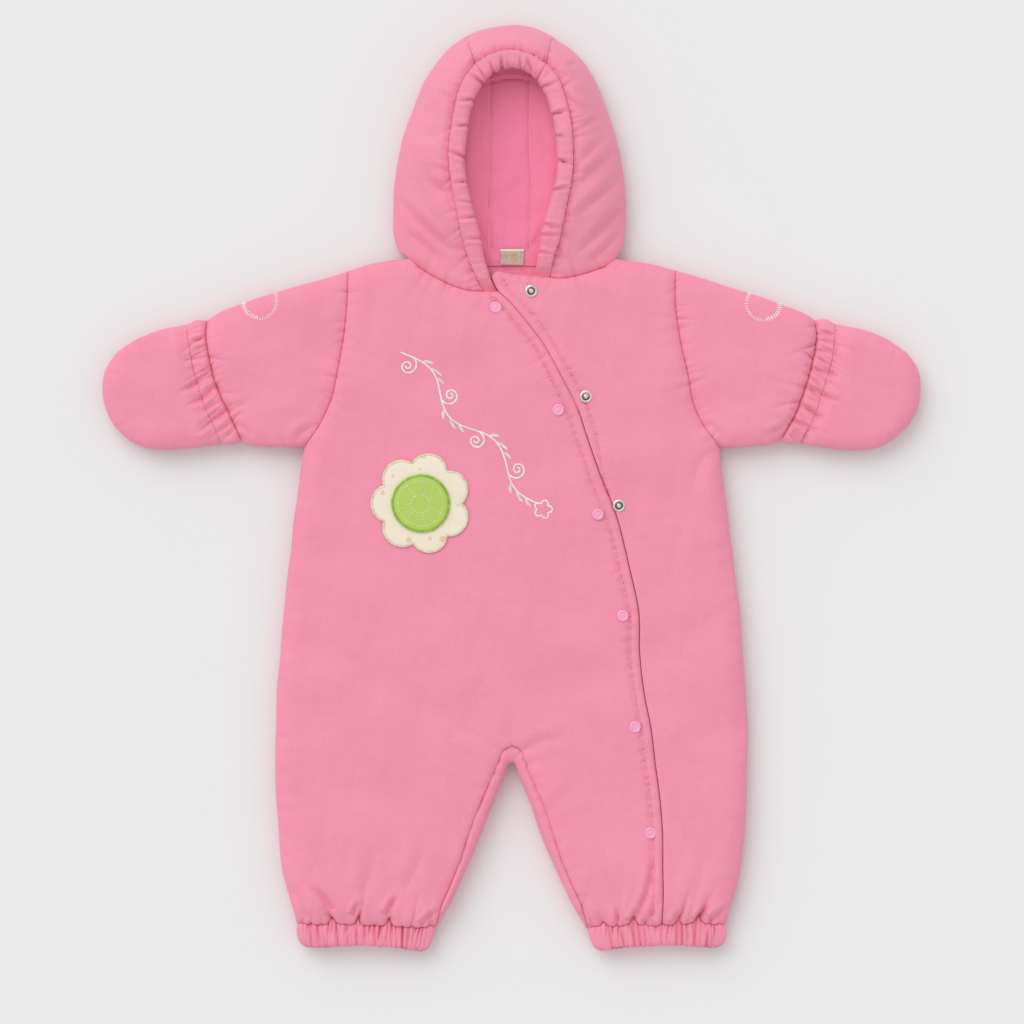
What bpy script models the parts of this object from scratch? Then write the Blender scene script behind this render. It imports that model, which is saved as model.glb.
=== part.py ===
"""Hooded baby pram suit of padded cloth, laid flat on its back with the arms out.

The suit lies on the plane z = 0. X runs from the wearer's right sleeve (-) to the left sleeve (+),
Y from the ankles to the hood, Z up. Sizes in this file are millimetres, made metres at the end.
Every panel is a padded wall. The back, the under halves of the sleeves and the mittens' palms fill
the first PLY millimetres, and the fronts lie on them. The hood lies on its back with its face
opening upwards, so its two layers stand apart.
"""

import math

import bmesh
import bpy
import numpy as np
from mathutils import Matrix, Vector
from mathutils.bvhtree import BVHTree

# ------------------------------------------------------------------ driving sizes, in millimetres
PLY = 12.0  # height of the plane where the fronts lie on the back
GAP = 0.3  # between two neighbouring pieces
EDGE = 2.0  # thickness of a panel where it is sewn to another at a side seam
BODY_LOFT = 11.0  # padding of the fronts just inside the side seams
CROWN = 3.0  # how much more a front rises in the middle of the body
CROWN_REACH = 60.0
SIDE_ROLL = 16.0  # how far in from an outline the top takes to round over
UNDER_ROLL = 11.0  # and the underside, to lie flat
SLEEVE_LOFT = 10.0
MITTEN_LOFT = 10.0
BAND_LOFT = 7.5
CUFF_LOFT = 5.5
CUFF_MOUTH = 2.4  # gap between the two layers of an ankle cuff
GATHER_DEPTH = 1.7  # the dips between the gathers of the wrist bands and ankle cuffs
LAP = 20.0  # how far the left front runs under the right front
LAP_TOP = 17.4  # height of the left front's edge where it runs under
LAP_ROOM = 18.1  # underside of the right front there
LAP_LIFT = 22.0  # how far from the closure the right front's underside is lifted clear
LAP_EDGE = 1.0  # beyond the closure the left front is still low for this far
LAP_RISE = 6.0  # and is back at its full height here
STRIP_RIGHT = 30.0  # the right front's edge strip, measured across from the closure
STRIP_LEFT = 14.0
SNAP_CAP_RADIUS = 4.6
STUD_RADIUS = 4.8
HOOD_WALL = 9.0
LINING_ROOM = 2.2
FLOWER_PETALS = 7
FLOWER_REACH = 40.0
FLOWER_DISC = 23.0
APPLIQUE_THICK = 1.2

# ------------------------------------------------------------------ lines of the cut
# Plan points as (out from the centre line, up), for one half. The wearer's right half is at -X.
SIDE_SEAM = [(171.5, -347), (181.5, -313), (187, -265), (189, -206), (184.5, -121), (175, -37), (166, 33.5)]
ARMHOLE = [(166, 33.5), (153.5, 50), (146, 66), (140, 90), (135, 114), (131.5, 145), (131, 174)]
SHOULDER = [(131, 174), (105, 180.8), (83, 184.4)]
ANKLE = [(171.5, -347), (118, -347.6), (61, -350)]
INSEAM_SEAM = [(61, -350), (56, -335), (48.8, -318), (41.6, -299), (35.6, -280), (29.3, -263),
               (22.4, -246), (15, -228.4), (9.6, -215), (7.6, -210), (4.6, -207.2), (0, -206)]
INSEAM_EDGE = [(59, -350), (50, -336), (39.4, -313), (29.2, -289), (19.6, -265), (10.4, -241),
               (5.6, -229), (3.6, -223), (2.2, -220.4), (0, -219.6)]
SLEEVE_TOP = [(131, 174), (171, 162), (199, 153), (217, 147), (234, 140.8), (243.4, 134.5)]
SLEEVE_UNDER = [(166, 33.5), (181, 33), (196, 33.8), (208, 35.2), (215.6, 38.5)]
WRIST_SEAM = [(215.6, 38.5), (223, 52.5), (230.5, 69), (237.6, 88.5), (241.8, 107), (244, 122),
              (243.4, 134.5)]
BAND_TOP = [(243.4, 134.5), (251.5, 135), (259, 131)]
BAND_UNDER = [(215.6, 38.5), (222.8, 35.6), (231, 36)]
MITTEN_SEAM = [(231, 36), (234.5, 43.5), (241.8, 58), (248.6, 76.6), (254, 94.5), (258, 115), (259, 131)]
MITTEN_TOP = [(259, 131), (283, 126.2), (300, 119.5)]
MITTEN_UNDER = [(231, 36), (255, 31.8), (278, 30.6), (293, 32.5), (305.5, 38.5)]
MITTEN_TIP = [(305.5, 38.5), (318, 51), (325, 65), (327.3, 80), (325.5, 93), (317, 107), (300, 119.5)]
CUFF_OUTER = [(171.5, -347), (171.8, -356), (169, -363.5), (163, -366.8)]
CUFF_INNER = [(61, -350), (63, -360), (66.4, -367.2), (72.5, -370)]
CUFF_HEM = [(163, -366.8), (132, -365.8), (98, -366.6), (72.5, -370)]

# Plan points in true X, because the closure slants across the front.
CLOSURE = [(120.3, -347.8), (121, -299), (120, -264), (114.5, -217), (108.5, -178), (102.3, -130),
           (100.7, -94), (93, -57), (85, -28), (70, 13), (60.5, 40), (48.5, 72), (33.5, 102),
           (15, 130), (-1, 148.7), (-10.6, 157.6)]
CLOSURE_TIP = [(-10.6, 157.6), (-14.4, 165.4), (-15.6, 169.5)]
NECK_FOLD = (75, 177.2)  # where the neck seam meets the hood's inner fold
NECK_RIGHT = [(-75, 177.2), (-61, 168.8), (-46.2, 161.6), (-34.3, 158), (-22.5, 157.2), (-10.6, 157.6)]
NECK_LEFT = [(-15.6, 169.5), (-14.2, 172.4), (-11, 173.5), (-6, 172.8), (3.5, 170.9), (17.5, 169.8),
             (31, 168.4), (43, 168), (57.2, 170.6), (75, 177.2)]
NECK_BACK = [(-75, 177.2), (-45, 177.6), (0, 178), (45, 177.6), (75, 177.2)]

# The hood, about its own centre line.
HOOD_X = -1.4
RIM_X = -0.4
HOOD_OUTLINE = [(83, 184.4), (88.6, 190), (92.2, 202), (93.2, 222), (90.6, 252), (84.6, 282),
                (76.4, 307), (65.2, 331), (49.4, 351), (34.4, 362)]
HOOD_TOP = [(-34.4, 362), (-25, 366.4), (-13, 369.2), (0, 370), (13, 369.2), (25, 366.4), (34.4, 362)]
RIM_OUTER = [(33, 181), (38.4, 199), (43.2, 220), (47.6, 244), (49.4, 270), (46.8, 297), (42, 316.4),
             (36, 331), (28, 340.5)]
RIM_TOP = [(-28, 340.5), (-15, 348.4), (0, 351.5), (15, 348.4), (28, 340.5)]
OPENING = [(21, 184), (25.6, 208), (31.2, 230), (35.4, 248), (36.6, 264), (35.2, 284), (31.6, 303),
           (26.6, 317), (20.5, 327.4)]
OPENING_TOP = [(-20.5, 327.4), (-12.6, 334), (0, 337), (12.6, 334), (20.5, 327.4)]
# height of the hood's front at its edge seam and the edge's own half height, against the place up the hood
HOOD_RISE = {"up": [157, 170, 184, 210, 250, 290, 325, 351], "front": [22, 23, 27, 36, 44, 47, 45, 42],
             "half": [4.4, 4.6, 5.2, 6.4, 7.2, 7.2, 7.0, 7.0]}
HOOD_SEAM = [(16, 179.3), (16, 210), (15.5, 260), (15.5, 315), (18, 338), (24, 347), (30, 351.5)]

SNAP_CAPS = [(-12.8, 144.2), (37.1, 62.8), (68.4, -20.6), (88.1, -101.4), (98.4, -190.3), (111, -275.1)]
SNAP_STUDS = [(15.6, 157.6), (58.5, 72.9), (85.1, -14)]
FLOWER_CENTRE = (-72.0, -12.0)
LABEL = {"x": (-9, 9.2), "up": (180.2, 192.4), "thick": 0.7}

# ------------------------------------------------------------------ how finely each line is cut
ACROSS_ARM = [0, 0.03, 0.11, 0.28, 0.5, 0.72, 0.89, 0.97, 1]  # underarm to shoulder
UP_LEG = [0, 0.05, 0.15, 0.34, 0.56, 0.76, 0.9, 0.97, 1]  # ankle to crotch
UP_TORSO = [0, 0.05, 0.2, 0.4, 0.6, 0.8, 1]  # crotch to underarm
IN_FROM_SIDE = [0, 0.012, 0.05, 0.12, 0.3, 0.6, 0.92, 1]  # side to centre
UP_HOOD = [0, 0.07, 0.2, 0.35, 0.5, 0.65, 0.8, 0.91, 1]
ACROSS_CROWN = [0, 0.17, 0.34, 0.5, 0.66, 0.83, 1]
ACROSS_CUFF = [0, 0.012, 0.05, *np.linspace(0.1, 0.9, 17), 0.95, 0.988, 1]
ACROSS_BAND = [0, 0.03, 0.11, 0.165, 0.22, 0.28, 0.335, 0.39, 0.445, 0.5, 0.555, 0.61, 0.665, 0.72, 0.78,
               0.835, 0.89, 0.97, 1]  # holds every place in ACROSS_ARM


def flip(line):
    """The same line in the other half of the suit."""
    return [(-x, y) for x, y in line]


def shifted(line, across):
    return [(x + across, y) for x, y in line]


def smooth(points, steps=10):
    """Closely spaced points on a smooth line through the given plan points."""
    knots = np.array(points, float)
    along = np.concatenate([[0], np.cumsum(np.linalg.norm(np.diff(knots, axis=0), axis=1))])
    slope = np.gradient(knots, along, axis=0)
    line = []
    for i in range(len(knots) - 1):
        t = np.linspace(0, 1, steps, endpoint=False)[:, None]
        span = along[i + 1] - along[i]
        line.append((1 + 2 * t) * (1 - t) ** 2 * knots[i] + t * (1 - t) ** 2 * span * slope[i]
                    + t ** 2 * (3 - 2 * t) * knots[i + 1] + t ** 2 * (t - 1) * span * slope[i + 1])
    return np.concatenate(line + [knots[-1:]])


def shares_of(line):
    """Each point's place along a line, from 0 to 1."""
    along = np.concatenate([[0], np.cumsum(np.linalg.norm(np.diff(line, axis=0), axis=1))])
    return along / along[-1]


def cut_at(line, shares):
    """Plan points at the given shares of a line's length."""
    place = shares_of(line)
    return np.stack([np.interp(shares, place, line[:, k]) for k in (0, 1)], axis=1)


def at_up(line, up):
    """The points of a line that climbs steadily, at the given heights up the suit."""
    up = np.atleast_1d(up)
    order = np.argsort(line[:, 1])
    return np.stack([np.interp(up, line[order, 1], line[order, 0]), up], axis=1)


def part_of(line, low, high):
    """The stretch of a climbing line between two heights up the suit."""
    inside = line[(line[:, 1] > low) & (line[:, 1] < high)]
    return np.concatenate([at_up(line, low), inside, at_up(line, high)])


def beside(line, by):
    """A cut line moved sideways, to the right of someone who walks along it."""
    along = np.gradient(line, axis=0)
    along /= np.linalg.norm(along, axis=1)[:, None]
    return line + by * np.stack([along[:, 1], -along[:, 0]], axis=1)


def fill(bottom, top, left, right):
    """A grid of plan points between four cut sides: bottom and top run to the right, the others up."""
    across = ((shares_of(bottom) + shares_of(top)) / 2)[None, :, None]
    up = ((shares_of(left) + shares_of(right)) / 2)[:, None, None]
    ruled = (1 - up) * bottom[None] + up * top[None] + (1 - across) * left[:, None] + across * right[:, None]
    corners = ((1 - across) * (1 - up) * bottom[0] + across * (1 - up) * bottom[-1]
               + (1 - across) * up * top[0] + across * up * top[-1])
    return ruled - corners


def straight(start, end, shares):
    """A grid whose rows run straight from one cut side to the other."""
    shares = np.array(shares)[None, :, None]
    return (1 - shares) * start[:, None] + shares * end[:, None]


# ------------------------------------------------------------------ heights
def distance(points, line):
    """How far plan points are from a line."""
    flat = points.reshape(-1, 2)
    start, step = line[:-1], np.diff(line, axis=0)
    best = np.full(len(flat), np.inf)
    for a, d in zip(start, step):
        t = np.clip(((flat - a) @ d) / max(d @ d, 1e-9), 0, 1)
        best = np.minimum(best, np.linalg.norm(flat - a - t[:, None] * d, axis=1))
    return best.reshape(points.shape[:-1])


def rounded(share):
    """0 to 1 as a quarter circle, steep at first."""
    return np.sqrt(1 - (1 - np.clip(share, 0, 1)) ** 2)


def eased(share):
    share = np.clip(share, 0, 1)
    return share * share * (3 - 2 * share)


def both(line):
    return [smooth(line), smooth(flip(line))]


OUTLINE = sum((both(line) for line in (
    SIDE_SEAM, SHOULDER, INSEAM_EDGE, SLEEVE_TOP, SLEEVE_UNDER, BAND_TOP, BAND_UNDER, MITTEN_TOP,
    MITTEN_UNDER, MITTEN_TIP, CUFF_OUTER, CUFF_INNER)), [])


def from_outline(points):
    """How far inside the suit's outline plan points are."""
    return np.min([distance(points, line) for line in OUTLINE], axis=0)


def padded_top(points, loft, sunk=(), crown=CROWN):
    """Top of a padded layer that lies on the back. sunk holds (line, depth, reach) for its seams."""
    inside = from_outline(points)
    z = PLY + EDGE + (loft - EDGE) * rounded(inside / SIDE_ROLL)
    z = z + crown * (1 - np.exp(-inside / CROWN_REACH))
    for line, depth, reach in sunk:
        z = z - depth * (1 - rounded(distance(points, line) / reach))
    return np.maximum(z, PLY + GAP + 1)


def under_side(points):
    """Underside of a layer that lies on the ground."""
    return (PLY - EDGE) * (1 - rounded(from_outline(points) / UNDER_ROLL))


# ------------------------------------------------------------------ solids
class Solid:
    """A closed shell that is collected face by face, welded, and turned to face outwards."""

    def __init__(self):
        self.bm = bmesh.new()

    def face(self, corners):
        self.bm.faces.new([self.bm.verts.new(corner) for corner in corners])

    def sheet(self, plan, z):
        """Quads over a grid of plan points with a height at each."""
        grid = np.dstack([plan, z])
        for row, above in zip(grid[:-1], grid[1:]):
            for i in range(len(row) - 1):
                self.face([row[i], row[i + 1], above[i + 1], above[i]])

    def curtain(self, points, levels):
        """Upright faces under a cut line, where each point has its own list of heights."""
        for i in range(len(points) - 1):
            near = [(*points[i], z) for z in levels[i]]
            far = [(*points[i + 1], z) for z in levels[i + 1]]
            self.face(near + far[::-1])

    def finish(self, name, colour):
        bmesh.ops.remove_doubles(self.bm, verts=self.bm.verts, dist=0.002)
        return to_object(self.bm, name, colour)


def to_object(bm, name, colour):
    """The finished shell as a named object, in metres."""
    bmesh.ops.recalc_face_normals(bm, faces=bm.faces)
    bm.transform(Matrix.Scale(0.001, 4))
    mesh = bpy.data.meshes.new(name)
    bm.to_mesh(mesh)
    bm.free()
    mesh.materials.append(colour)
    mesh.shade_smooth()
    mesh.set_sharp_from_angle(angle=math.radians(50))
    made = bpy.data.objects.new(name, mesh)
    bpy.context.scene.collection.objects.link(made)
    return made


def draw_in(bm, by):
    """Moves the border of a flat sheet inwards, for the gap at the seams."""
    moves = {}
    for vert in bm.verts:
        normals = []
        for edge in vert.link_edges:
            if not edge.is_boundary:
                continue
            along = (edge.verts[1].co - edge.verts[0].co).normalized()
            across = Vector((-along.y, along.x, 0))
            middle = (edge.verts[0].co + edge.verts[1].co) / 2
            inwards = edge.link_faces[0].calc_center_median() - middle
            normals.append(across if across.dot(inwards) > 0 else -across)
        if len(normals) == 2:
            mean = (normals[0] + normals[1]).normalized()
            moves[vert] = mean * by / max(mean.dot(normals[0]), 0.4)
    for vert, move in moves.items():
        vert.co += move


def wall(name, grids, top, under, colour):
    """A panel: flat grids sewn into one sheet, drawn in at the border, then given a top and an underside."""
    bm = bmesh.new()
    for grid in grids:
        verts = [[bm.verts.new((x, y, 0)) for x, y in row] for row in grid]
        for row, above in zip(verts[:-1], verts[1:]):
            for i in range(len(row) - 1):
                bm.faces.new([row[i], row[i + 1], above[i + 1], above[i]])
    bmesh.ops.remove_doubles(bm, verts=bm.verts, dist=0.05)
    bmesh.ops.recalc_face_normals(bm, faces=bm.faces)
    draw_in(bm, GAP / 2)
    lower = list(bm.verts)
    made = bmesh.ops.extrude_face_region(bm, geom=list(bm.faces))
    upper = [item for item in made["geom"] if isinstance(item, bmesh.types.BMVert)]
    for verts, height in ((lower, under), (upper, top)):
        plan = np.array([(v.co.x, v.co.y) for v in verts])
        for vert, z in zip(verts, height(plan)):
            vert.co.z = z
    return to_object(bm, name, colour)


def flat_tube(name, plan, top, colour, mouth=GAP, folds=(2, -3)):
    """A sleeve, band or cuff pressed flat: one wall all round, open at both ends of the grid's rows."""
    plan = plan.copy()
    for end, inner in ((0, 1), (-1, -2)):
        step = plan[inner] - plan[end]
        plan[end] += step / np.linalg.norm(step, axis=1)[:, None] * GAP / 2
    z_top, z_under = top(plan), under_side(plan)
    left, right = folds[0], plan.shape[1] + folds[1]
    above, below = np.full(plan.shape[:2], PLY + mouth / 2), np.full(plan.shape[:2], PLY - mouth / 2)
    solid = Solid()
    solid.sheet(plan, z_top)
    solid.sheet(plan, z_under)
    slit = slice(left, right + 1)
    solid.sheet(plan[:, slit], above[:, slit])
    solid.sheet(plan[:, slit], below[:, slit])
    for column in (left, right):
        solid.curtain(plan[:, column], np.stack([below[:, column], above[:, column]], axis=1))
    for column in (0, -1):
        solid.curtain(plan[:, column], np.stack([z_under[:, column], z_top[:, column]], axis=1))
    for row in (0, -1):
        levels = [[z_under[row, i], z_top[row, i]] for i in range(plan.shape[1])]
        for i in (left, right):
            levels[i] = [z_under[row, i], below[row, i], above[row, i], z_top[row, i]]
        solid.curtain(plan[row, :left + 1], levels[:left + 1])
        solid.curtain(plan[row, right:], levels[right:])
        over = [[above[row, i], z_top[row, i]] for i in range(left, right + 1)]
        lower = [[z_under[row, i], below[row, i]] for i in range(left, right + 1)]
        solid.curtain(plan[row, slit], over)
        solid.curtain(plan[row, slit], lower)
    return solid.finish(name, colour)


def turned(name, profile, centre, base, colour, sides=12):
    """A round fitting spun from (radius, height) pairs, standing at a height over a plan point."""
    bm = bmesh.new()
    ring = [bm.verts.new((radius, 0, z)) for radius, z in profile]
    edges = [bm.edges.new(pair) for pair in zip(ring[:-1], ring[1:])]
    bmesh.ops.spin(bm, geom=ring + edges, cent=(0, 0, 0), axis=(0, 0, 1), angle=math.tau, steps=sides,
                   use_merge=True)
    bmesh.ops.remove_doubles(bm, verts=bm.verts, dist=0.002)
    made = to_object(bm, name, colour)
    made.location = (centre[0] / 1000, centre[1] / 1000, base / 1000)
    return made


def surface_of(thing):
    """A function that gives the height of an object's top over a plan point, in millimetres."""
    bm = bmesh.new()
    bm.from_mesh(thing.data)
    tree = BVHTree.FromBMesh(bm)
    bm.free()

    def height(x, y):
        hit = tree.ray_cast(Vector((x / 1000, y / 1000, 0.2)), Vector((0, 0, -1)))[0]
        return hit.z * 1000

    return height


def seat(height, centre, radius):
    """The lowest place clear of a surface for a round base."""
    turns = [math.tau * k / 12 for k in range(12)]
    ring = [(centre[0] + radius * math.cos(a), centre[1] + radius * math.sin(a)) for a in turns]
    return max(height(x, y) for x, y in ring + [centre]) + GAP


def material(name, colour, roughness, metallic=0.0):
    made = bpy.data.materials.new(name)
    made.use_nodes = True
    shader = made.node_tree.nodes["Principled BSDF"]
    shader.inputs["Base Color"].default_value = (*colour, 1)
    shader.inputs["Roughness"].default_value = roughness
    shader.inputs["Metallic"].default_value = metallic
    return made


# ------------------------------------------------------------------ the body
def closure_cuts():
    """The closure, cut at the rows that both fronts share: the leg's rows, then the torso's."""
    line = smooth(CLOSURE)
    crotch = INSEAM_SEAM[-1][1]
    leg = cut_at(part_of(line, CLOSURE[0][1], crotch), UP_LEG)
    above = part_of(line, crotch, CLOSURE[-1][1])
    rows = len(UP_TORSO) + len(ACROSS_ARM) - 1
    return leg, cut_at(above, np.linspace(0, 1, rows))


def side_cuts(side):
    """The side seam of the leg, and the side seam and armhole of the torso, cut into rows."""
    line = smooth(SIDE_SEAM)
    crotch = INSEAM_SEAM[-1][1]
    leg = cut_at(part_of(line, SIDE_SEAM[0][1], crotch), UP_LEG)
    torso = cut_at(part_of(line, crotch, SIDE_SEAM[-1][1]), UP_TORSO)
    arm = cut_at(smooth(ARMHOLE), ACROSS_ARM)
    return leg * (side, 1), np.concatenate([torso, arm[1:]]) * (side, 1)


def inseam_cuts(side):
    return cut_at(smooth(INSEAM_SEAM), UP_LEG) * (side, 1)


def edge_line(closure, end, across):
    """A line beside the closure that finishes at a point on the neck."""
    line = closure + (across, 0)
    blend = eased(np.linspace(-5, 1, len(line)))[:, None]
    return line + blend * (np.array(end) - line[-1])


def lapped(up):
    """0 where the two fronts lie edge to edge, 1 where the right one lies over the left one."""
    return eased((74 - up) / 36)


def lap_width(up):
    return LAP * eased((22 - up) / 60)


def lap_height(up, full):
    """Height of a face where the fronts lap, lower towards the ankle, where the cuff draws them in."""
    return PLY + (full - PLY) * (0.45 + 0.55 * eased((up - ANKLE[1][1]) / 20))


def closure_x(up):
    line = np.concatenate([smooth(CLOSURE), smooth(CLOSURE_TIP)[1:]])
    return np.interp(up, line[:, 1], line[:, 0])


def neck_cut(line, x):
    """The point of a neck line at the given x."""
    line = smooth(line)
    order = np.argsort(line[:, 0])
    return np.array([x, np.interp(x, line[order, 0], line[order, 1])])


def body_seams(side):
    """Seams that draw the padding down: armhole, leg seam, ankle and neck, as (line, depth, reach)."""
    return [(smooth(ARMHOLE) * (side, 1), 4.0, 9.0), (smooth(INSEAM_SEAM) * (side, 1), 2.5, 6.0),
            (smooth(ANKLE) * (side, 1), 6.0, 16.0), (smooth(SHOULDER) * (side, 1), 1.0, 8.0)]


def front_right(cloth):
    """The right front: right leg, body, and the left leg's inner part, up to the slanting closure."""
    leg_side, torso_side = side_cuts(-1)
    leg_closure, torso_closure = closure_cuts()
    inseam_right, inseam_left = inseam_cuts(-1), inseam_cuts(1)
    ankle_right, ankle_left = smooth(flip(ANKLE)), smooth(ANKLE)
    crotch = INSEAM_SEAM[-1]
    waist_right = straight(leg_side[-1:], np.array([crotch]), IN_FROM_SIDE)[0]
    right_leg = fill(cut_at(ankle_right, IN_FROM_SIDE), waist_right, leg_side, inseam_right)

    neck = smooth(NECK_RIGHT)
    strip_end = neck_cut(NECK_RIGHT, torso_closure[-1][0] - STRIP_RIGHT)
    torso_line = edge_line(torso_closure, strip_end, -STRIP_RIGHT)
    leg_line = leg_closure - (STRIP_RIGHT, 0)
    leg_line[0] = at_ankle(leg_line[0][0])
    lobe_shares = [0, 0.2, 0.5, 1]
    waist_left = straight(np.array([crotch]), leg_line[-1:], lobe_shares)[0]
    bottom = straight(ankle_left[-1:], leg_line[:1], lobe_shares)[0]
    lobe = fill(bottom, waist_left, inseam_left, leg_line)

    waist = np.concatenate([waist_right, waist_left[1:]])
    shoulder = cut_at(smooth(flip(SHOULDER)), [0, 0.35, 0.7, 1])
    to_strip = neck[neck[:, 0] < strip_end[0]]
    neck_points = cut_at(np.concatenate([to_strip, [strip_end]]), np.linspace(0, 1, len(waist) - 4))
    top_line = np.concatenate([shoulder, neck_points])
    torso = fill(waist, top_line, torso_side, torso_line)

    columns = [0, 1 - LAP_LIFT / STRIP_RIGHT, 0.74, 0.9, 1]
    strips = [straight(leg_line, leg_closure, columns), straight(torso_line, torso_closure, columns)]
    strips[1][-1] = cut_at(np.concatenate([[strip_end], neck[neck[:, 0] > strip_end[0]]]), columns)

    sunk = body_seams(-1) + body_seams(1)[1:3] + [(smooth(CLOSURE), 3.0, 5.0), (neck, 5.0, 10.0)]

    def top(plan):
        return padded_top(plan, BODY_LOFT, sunk)

    def under(plan):
        inside = closure_x(plan[:, 1]) - plan[:, 0]
        raised = lapped(plan[:, 1]) * eased((STRIP_RIGHT - inside) / (STRIP_RIGHT - LAP_LIFT))
        return PLY + GAP / 2 + (lap_height(plan[:, 1], LAP_ROOM) - PLY - GAP / 2) * raised

    return wall("front_right", [right_leg, lobe, torso, *strips], top, under, cloth)


def at_ankle(x):
    """The point of the left ankle line at the given x."""
    line = smooth(ANKLE)
    return np.array([x, np.interp(x, line[::-1, 0], line[::-1, 1])])


def front_left(cloth):
    """The left front: its edge runs beside the right front above, and under it below."""
    leg_side, torso_side = side_cuts(1)
    leg_closure, torso_closure = closure_cuts()
    tip = cut_at(smooth(CLOSURE_TIP), [0, 0.5, 1])
    side = np.concatenate([leg_side, torso_side[1:]])
    closure = np.concatenate([leg_closure, torso_closure[1:], tip[1:]])
    side = np.concatenate([side[:-1], cut_at(side[-2:], [0.34, 0.67, 1])])
    edge = closure - np.stack([lap_width(closure[:, 1]), 0 * closure[:, 1]], axis=1)
    strip_end = neck_cut(NECK_LEFT, tip[-1][0] + STRIP_LEFT)
    line = edge_line(closure, strip_end, STRIP_LEFT)
    line[0], edge[0] = at_ankle(line[0][0]), at_ankle(edge[0][0])
    to_side = [0, 0.1, 0.2, 0.32, 0.45, 0.58, 0.7, 0.8, 0.88, 0.95, 0.985, 1]
    bottom = straight(line[:1], at_ankle(171.5)[None], to_side)[0]
    neck = smooth(NECK_LEFT)
    shoulder = cut_at(smooth(SHOULDER)[::-1], [0, 0.3, 0.65, 1])
    free = np.concatenate([[strip_end], neck[neck[:, 0] > strip_end[0]]])
    neck_points = cut_at(free, np.linspace(0, 1, len(to_side) - 4))
    top_line = np.concatenate([neck_points, shoulder])
    main = fill(bottom, top_line, line, side)
    columns = [0, 0.5, 0.75, 1]
    strip = np.stack([edge, closure + (LAP_EDGE, 0), closure + (LAP_RISE, 0), line], axis=1)
    strip[0, :, 1] = [at_ankle(x)[1] for x in strip[0, :, 0]]
    strip[-1] = cut_at(np.concatenate([neck[neck[:, 0] < strip_end[0]], [strip_end]]), columns)
    sunk = body_seams(1) + [(neck[neck[:, 0] > 17], 5.0, 10.0), (smooth(CLOSURE), 2.0, 4.0),
                            (smooth(CLOSURE_TIP), 3.0, 5.0), (neck[neck[:, 0] < 17], 2.5, 4.0)]

    def top(plan):
        full = padded_top(plan, BODY_LOFT, sunk)
        beyond = plan[:, 0] - closure_x(plan[:, 1])
        sink = lapped(plan[:, 1]) * eased((LAP_RISE - beyond) / (LAP_RISE - LAP_EDGE - GAP))
        return full + (lap_height(plan[:, 1], LAP_TOP) - full) * sink

    return wall("front_left", [main, strip], top, lambda plan: 0 * plan[:, 0] + PLY + GAP / 2, cloth)


def back(cloth):
    """The back of the body and both legs, in one piece, flat where it lies on the ground."""
    crotch = np.array([INSEAM_SEAM[-1]])
    grids, waists = [], []
    for side in (-1, 1):
        leg_side, _ = side_cuts(side)
        waist = straight(leg_side[-1:], crotch, IN_FROM_SIDE)[0]
        ankle = cut_at(smooth(ANKLE), IN_FROM_SIDE) * (side, 1)
        grids.append(fill(ankle, waist, leg_side, inseam_cuts(side)))
        waists.append(waist)
    bottom = np.concatenate([waists[0], waists[1][::-1][1:]])
    half = cut_at(smooth(SHOULDER), [0, 0.35, 0.7, 1])
    neck = cut_at(smooth(NECK_BACK), np.linspace(0, 1, len(bottom) - 8))
    top_line = np.concatenate([half * (-1, 1), neck, half[::-1]])
    grids.append(fill(bottom, top_line, side_cuts(-1)[1], side_cuts(1)[1]))
    return wall("back", grids, lambda plan: 0 * plan[:, 0] + PLY - GAP / 2, under_side, cloth)


def leg_gusset(cloth):
    """The strip along both inner legs and through the crotch, standing between the front and the back."""
    inner = cut_at(smooth(INSEAM_SEAM), UP_LEG)
    outer = cut_at(smooth(INSEAM_EDGE), UP_LEG)
    inner = np.concatenate([inner * (-1, 1), inner[::-1][1:]])
    outer = np.concatenate([outer * (-1, 1), outer[::-1][1:]])
    # the strip's own section: how far out from the seam, and how high up
    section = [(0.03, 0.8), (0.45, 0), (0.8, 2.4), (0.97, 7), (1, 12), (0.93, 16.6), (0.66, 20.2),
               (0.3, 21.8), (0.03, 22)]
    ankle_drop = 1 - 0.3 * (1 - eased((inner[:, 1] + 350) / 18))
    rings = []
    for near, far, scale in zip(inner, outer, ankle_drop):
        out = (far - near) / max(np.linalg.norm(far - near), 1e-6) * GAP
        rings.append([(*(near + out + share * (far - near - out)), z * scale) for share, z in section])
    rings = np.array(rings)
    for end, inside in ((0, 1), (-1, -2)):
        step = rings[inside, :, :2] - rings[end, :, :2]
        rings[end, :, :2] += step / np.linalg.norm(step, axis=1)[:, None] * GAP / 2
    return ring_solid("leg_gusset", rings, cloth)


def ring_solid(name, rings, colour):
    """A solid through closed rings of points, with its first and last ring as its ends."""
    solid = Solid()
    for ring, above in zip(rings[:-1], rings[1:]):
        for i in range(len(ring)):
            j = (i + 1) % len(ring)
            solid.face([ring[i], ring[j], above[j], above[i]])
    solid.face(rings[0])
    solid.face(rings[-1])
    return solid.finish(name, colour)


# ------------------------------------------------------------------ sleeves, mittens and cuffs
def sleeve(name, side, cloth):
    """A sleeve pressed flat, folded along its top and its underarm."""
    near = cut_at(smooth(ARMHOLE), ACROSS_ARM)
    far = cut_at(smooth(WRIST_SEAM), ACROSS_ARM)
    along = [0, 0.1, 0.3, 0.55, 0.8, 0.93, 1]
    plan = fill(near, far, cut_at(smooth(SLEEVE_UNDER), along), cut_at(smooth(SLEEVE_TOP), along))
    sunk = [(smooth(ARMHOLE), 3.0, 9.0), (smooth(WRIST_SEAM), 5.0, 12.0)]
    sunk = [(line * (side, 1), depth, reach) for line, depth, reach in sunk]
    return flat_tube(name, plan * (side, 1), lambda p: padded_top(p, SLEEVE_LOFT, sunk, 1.5), cloth)


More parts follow.
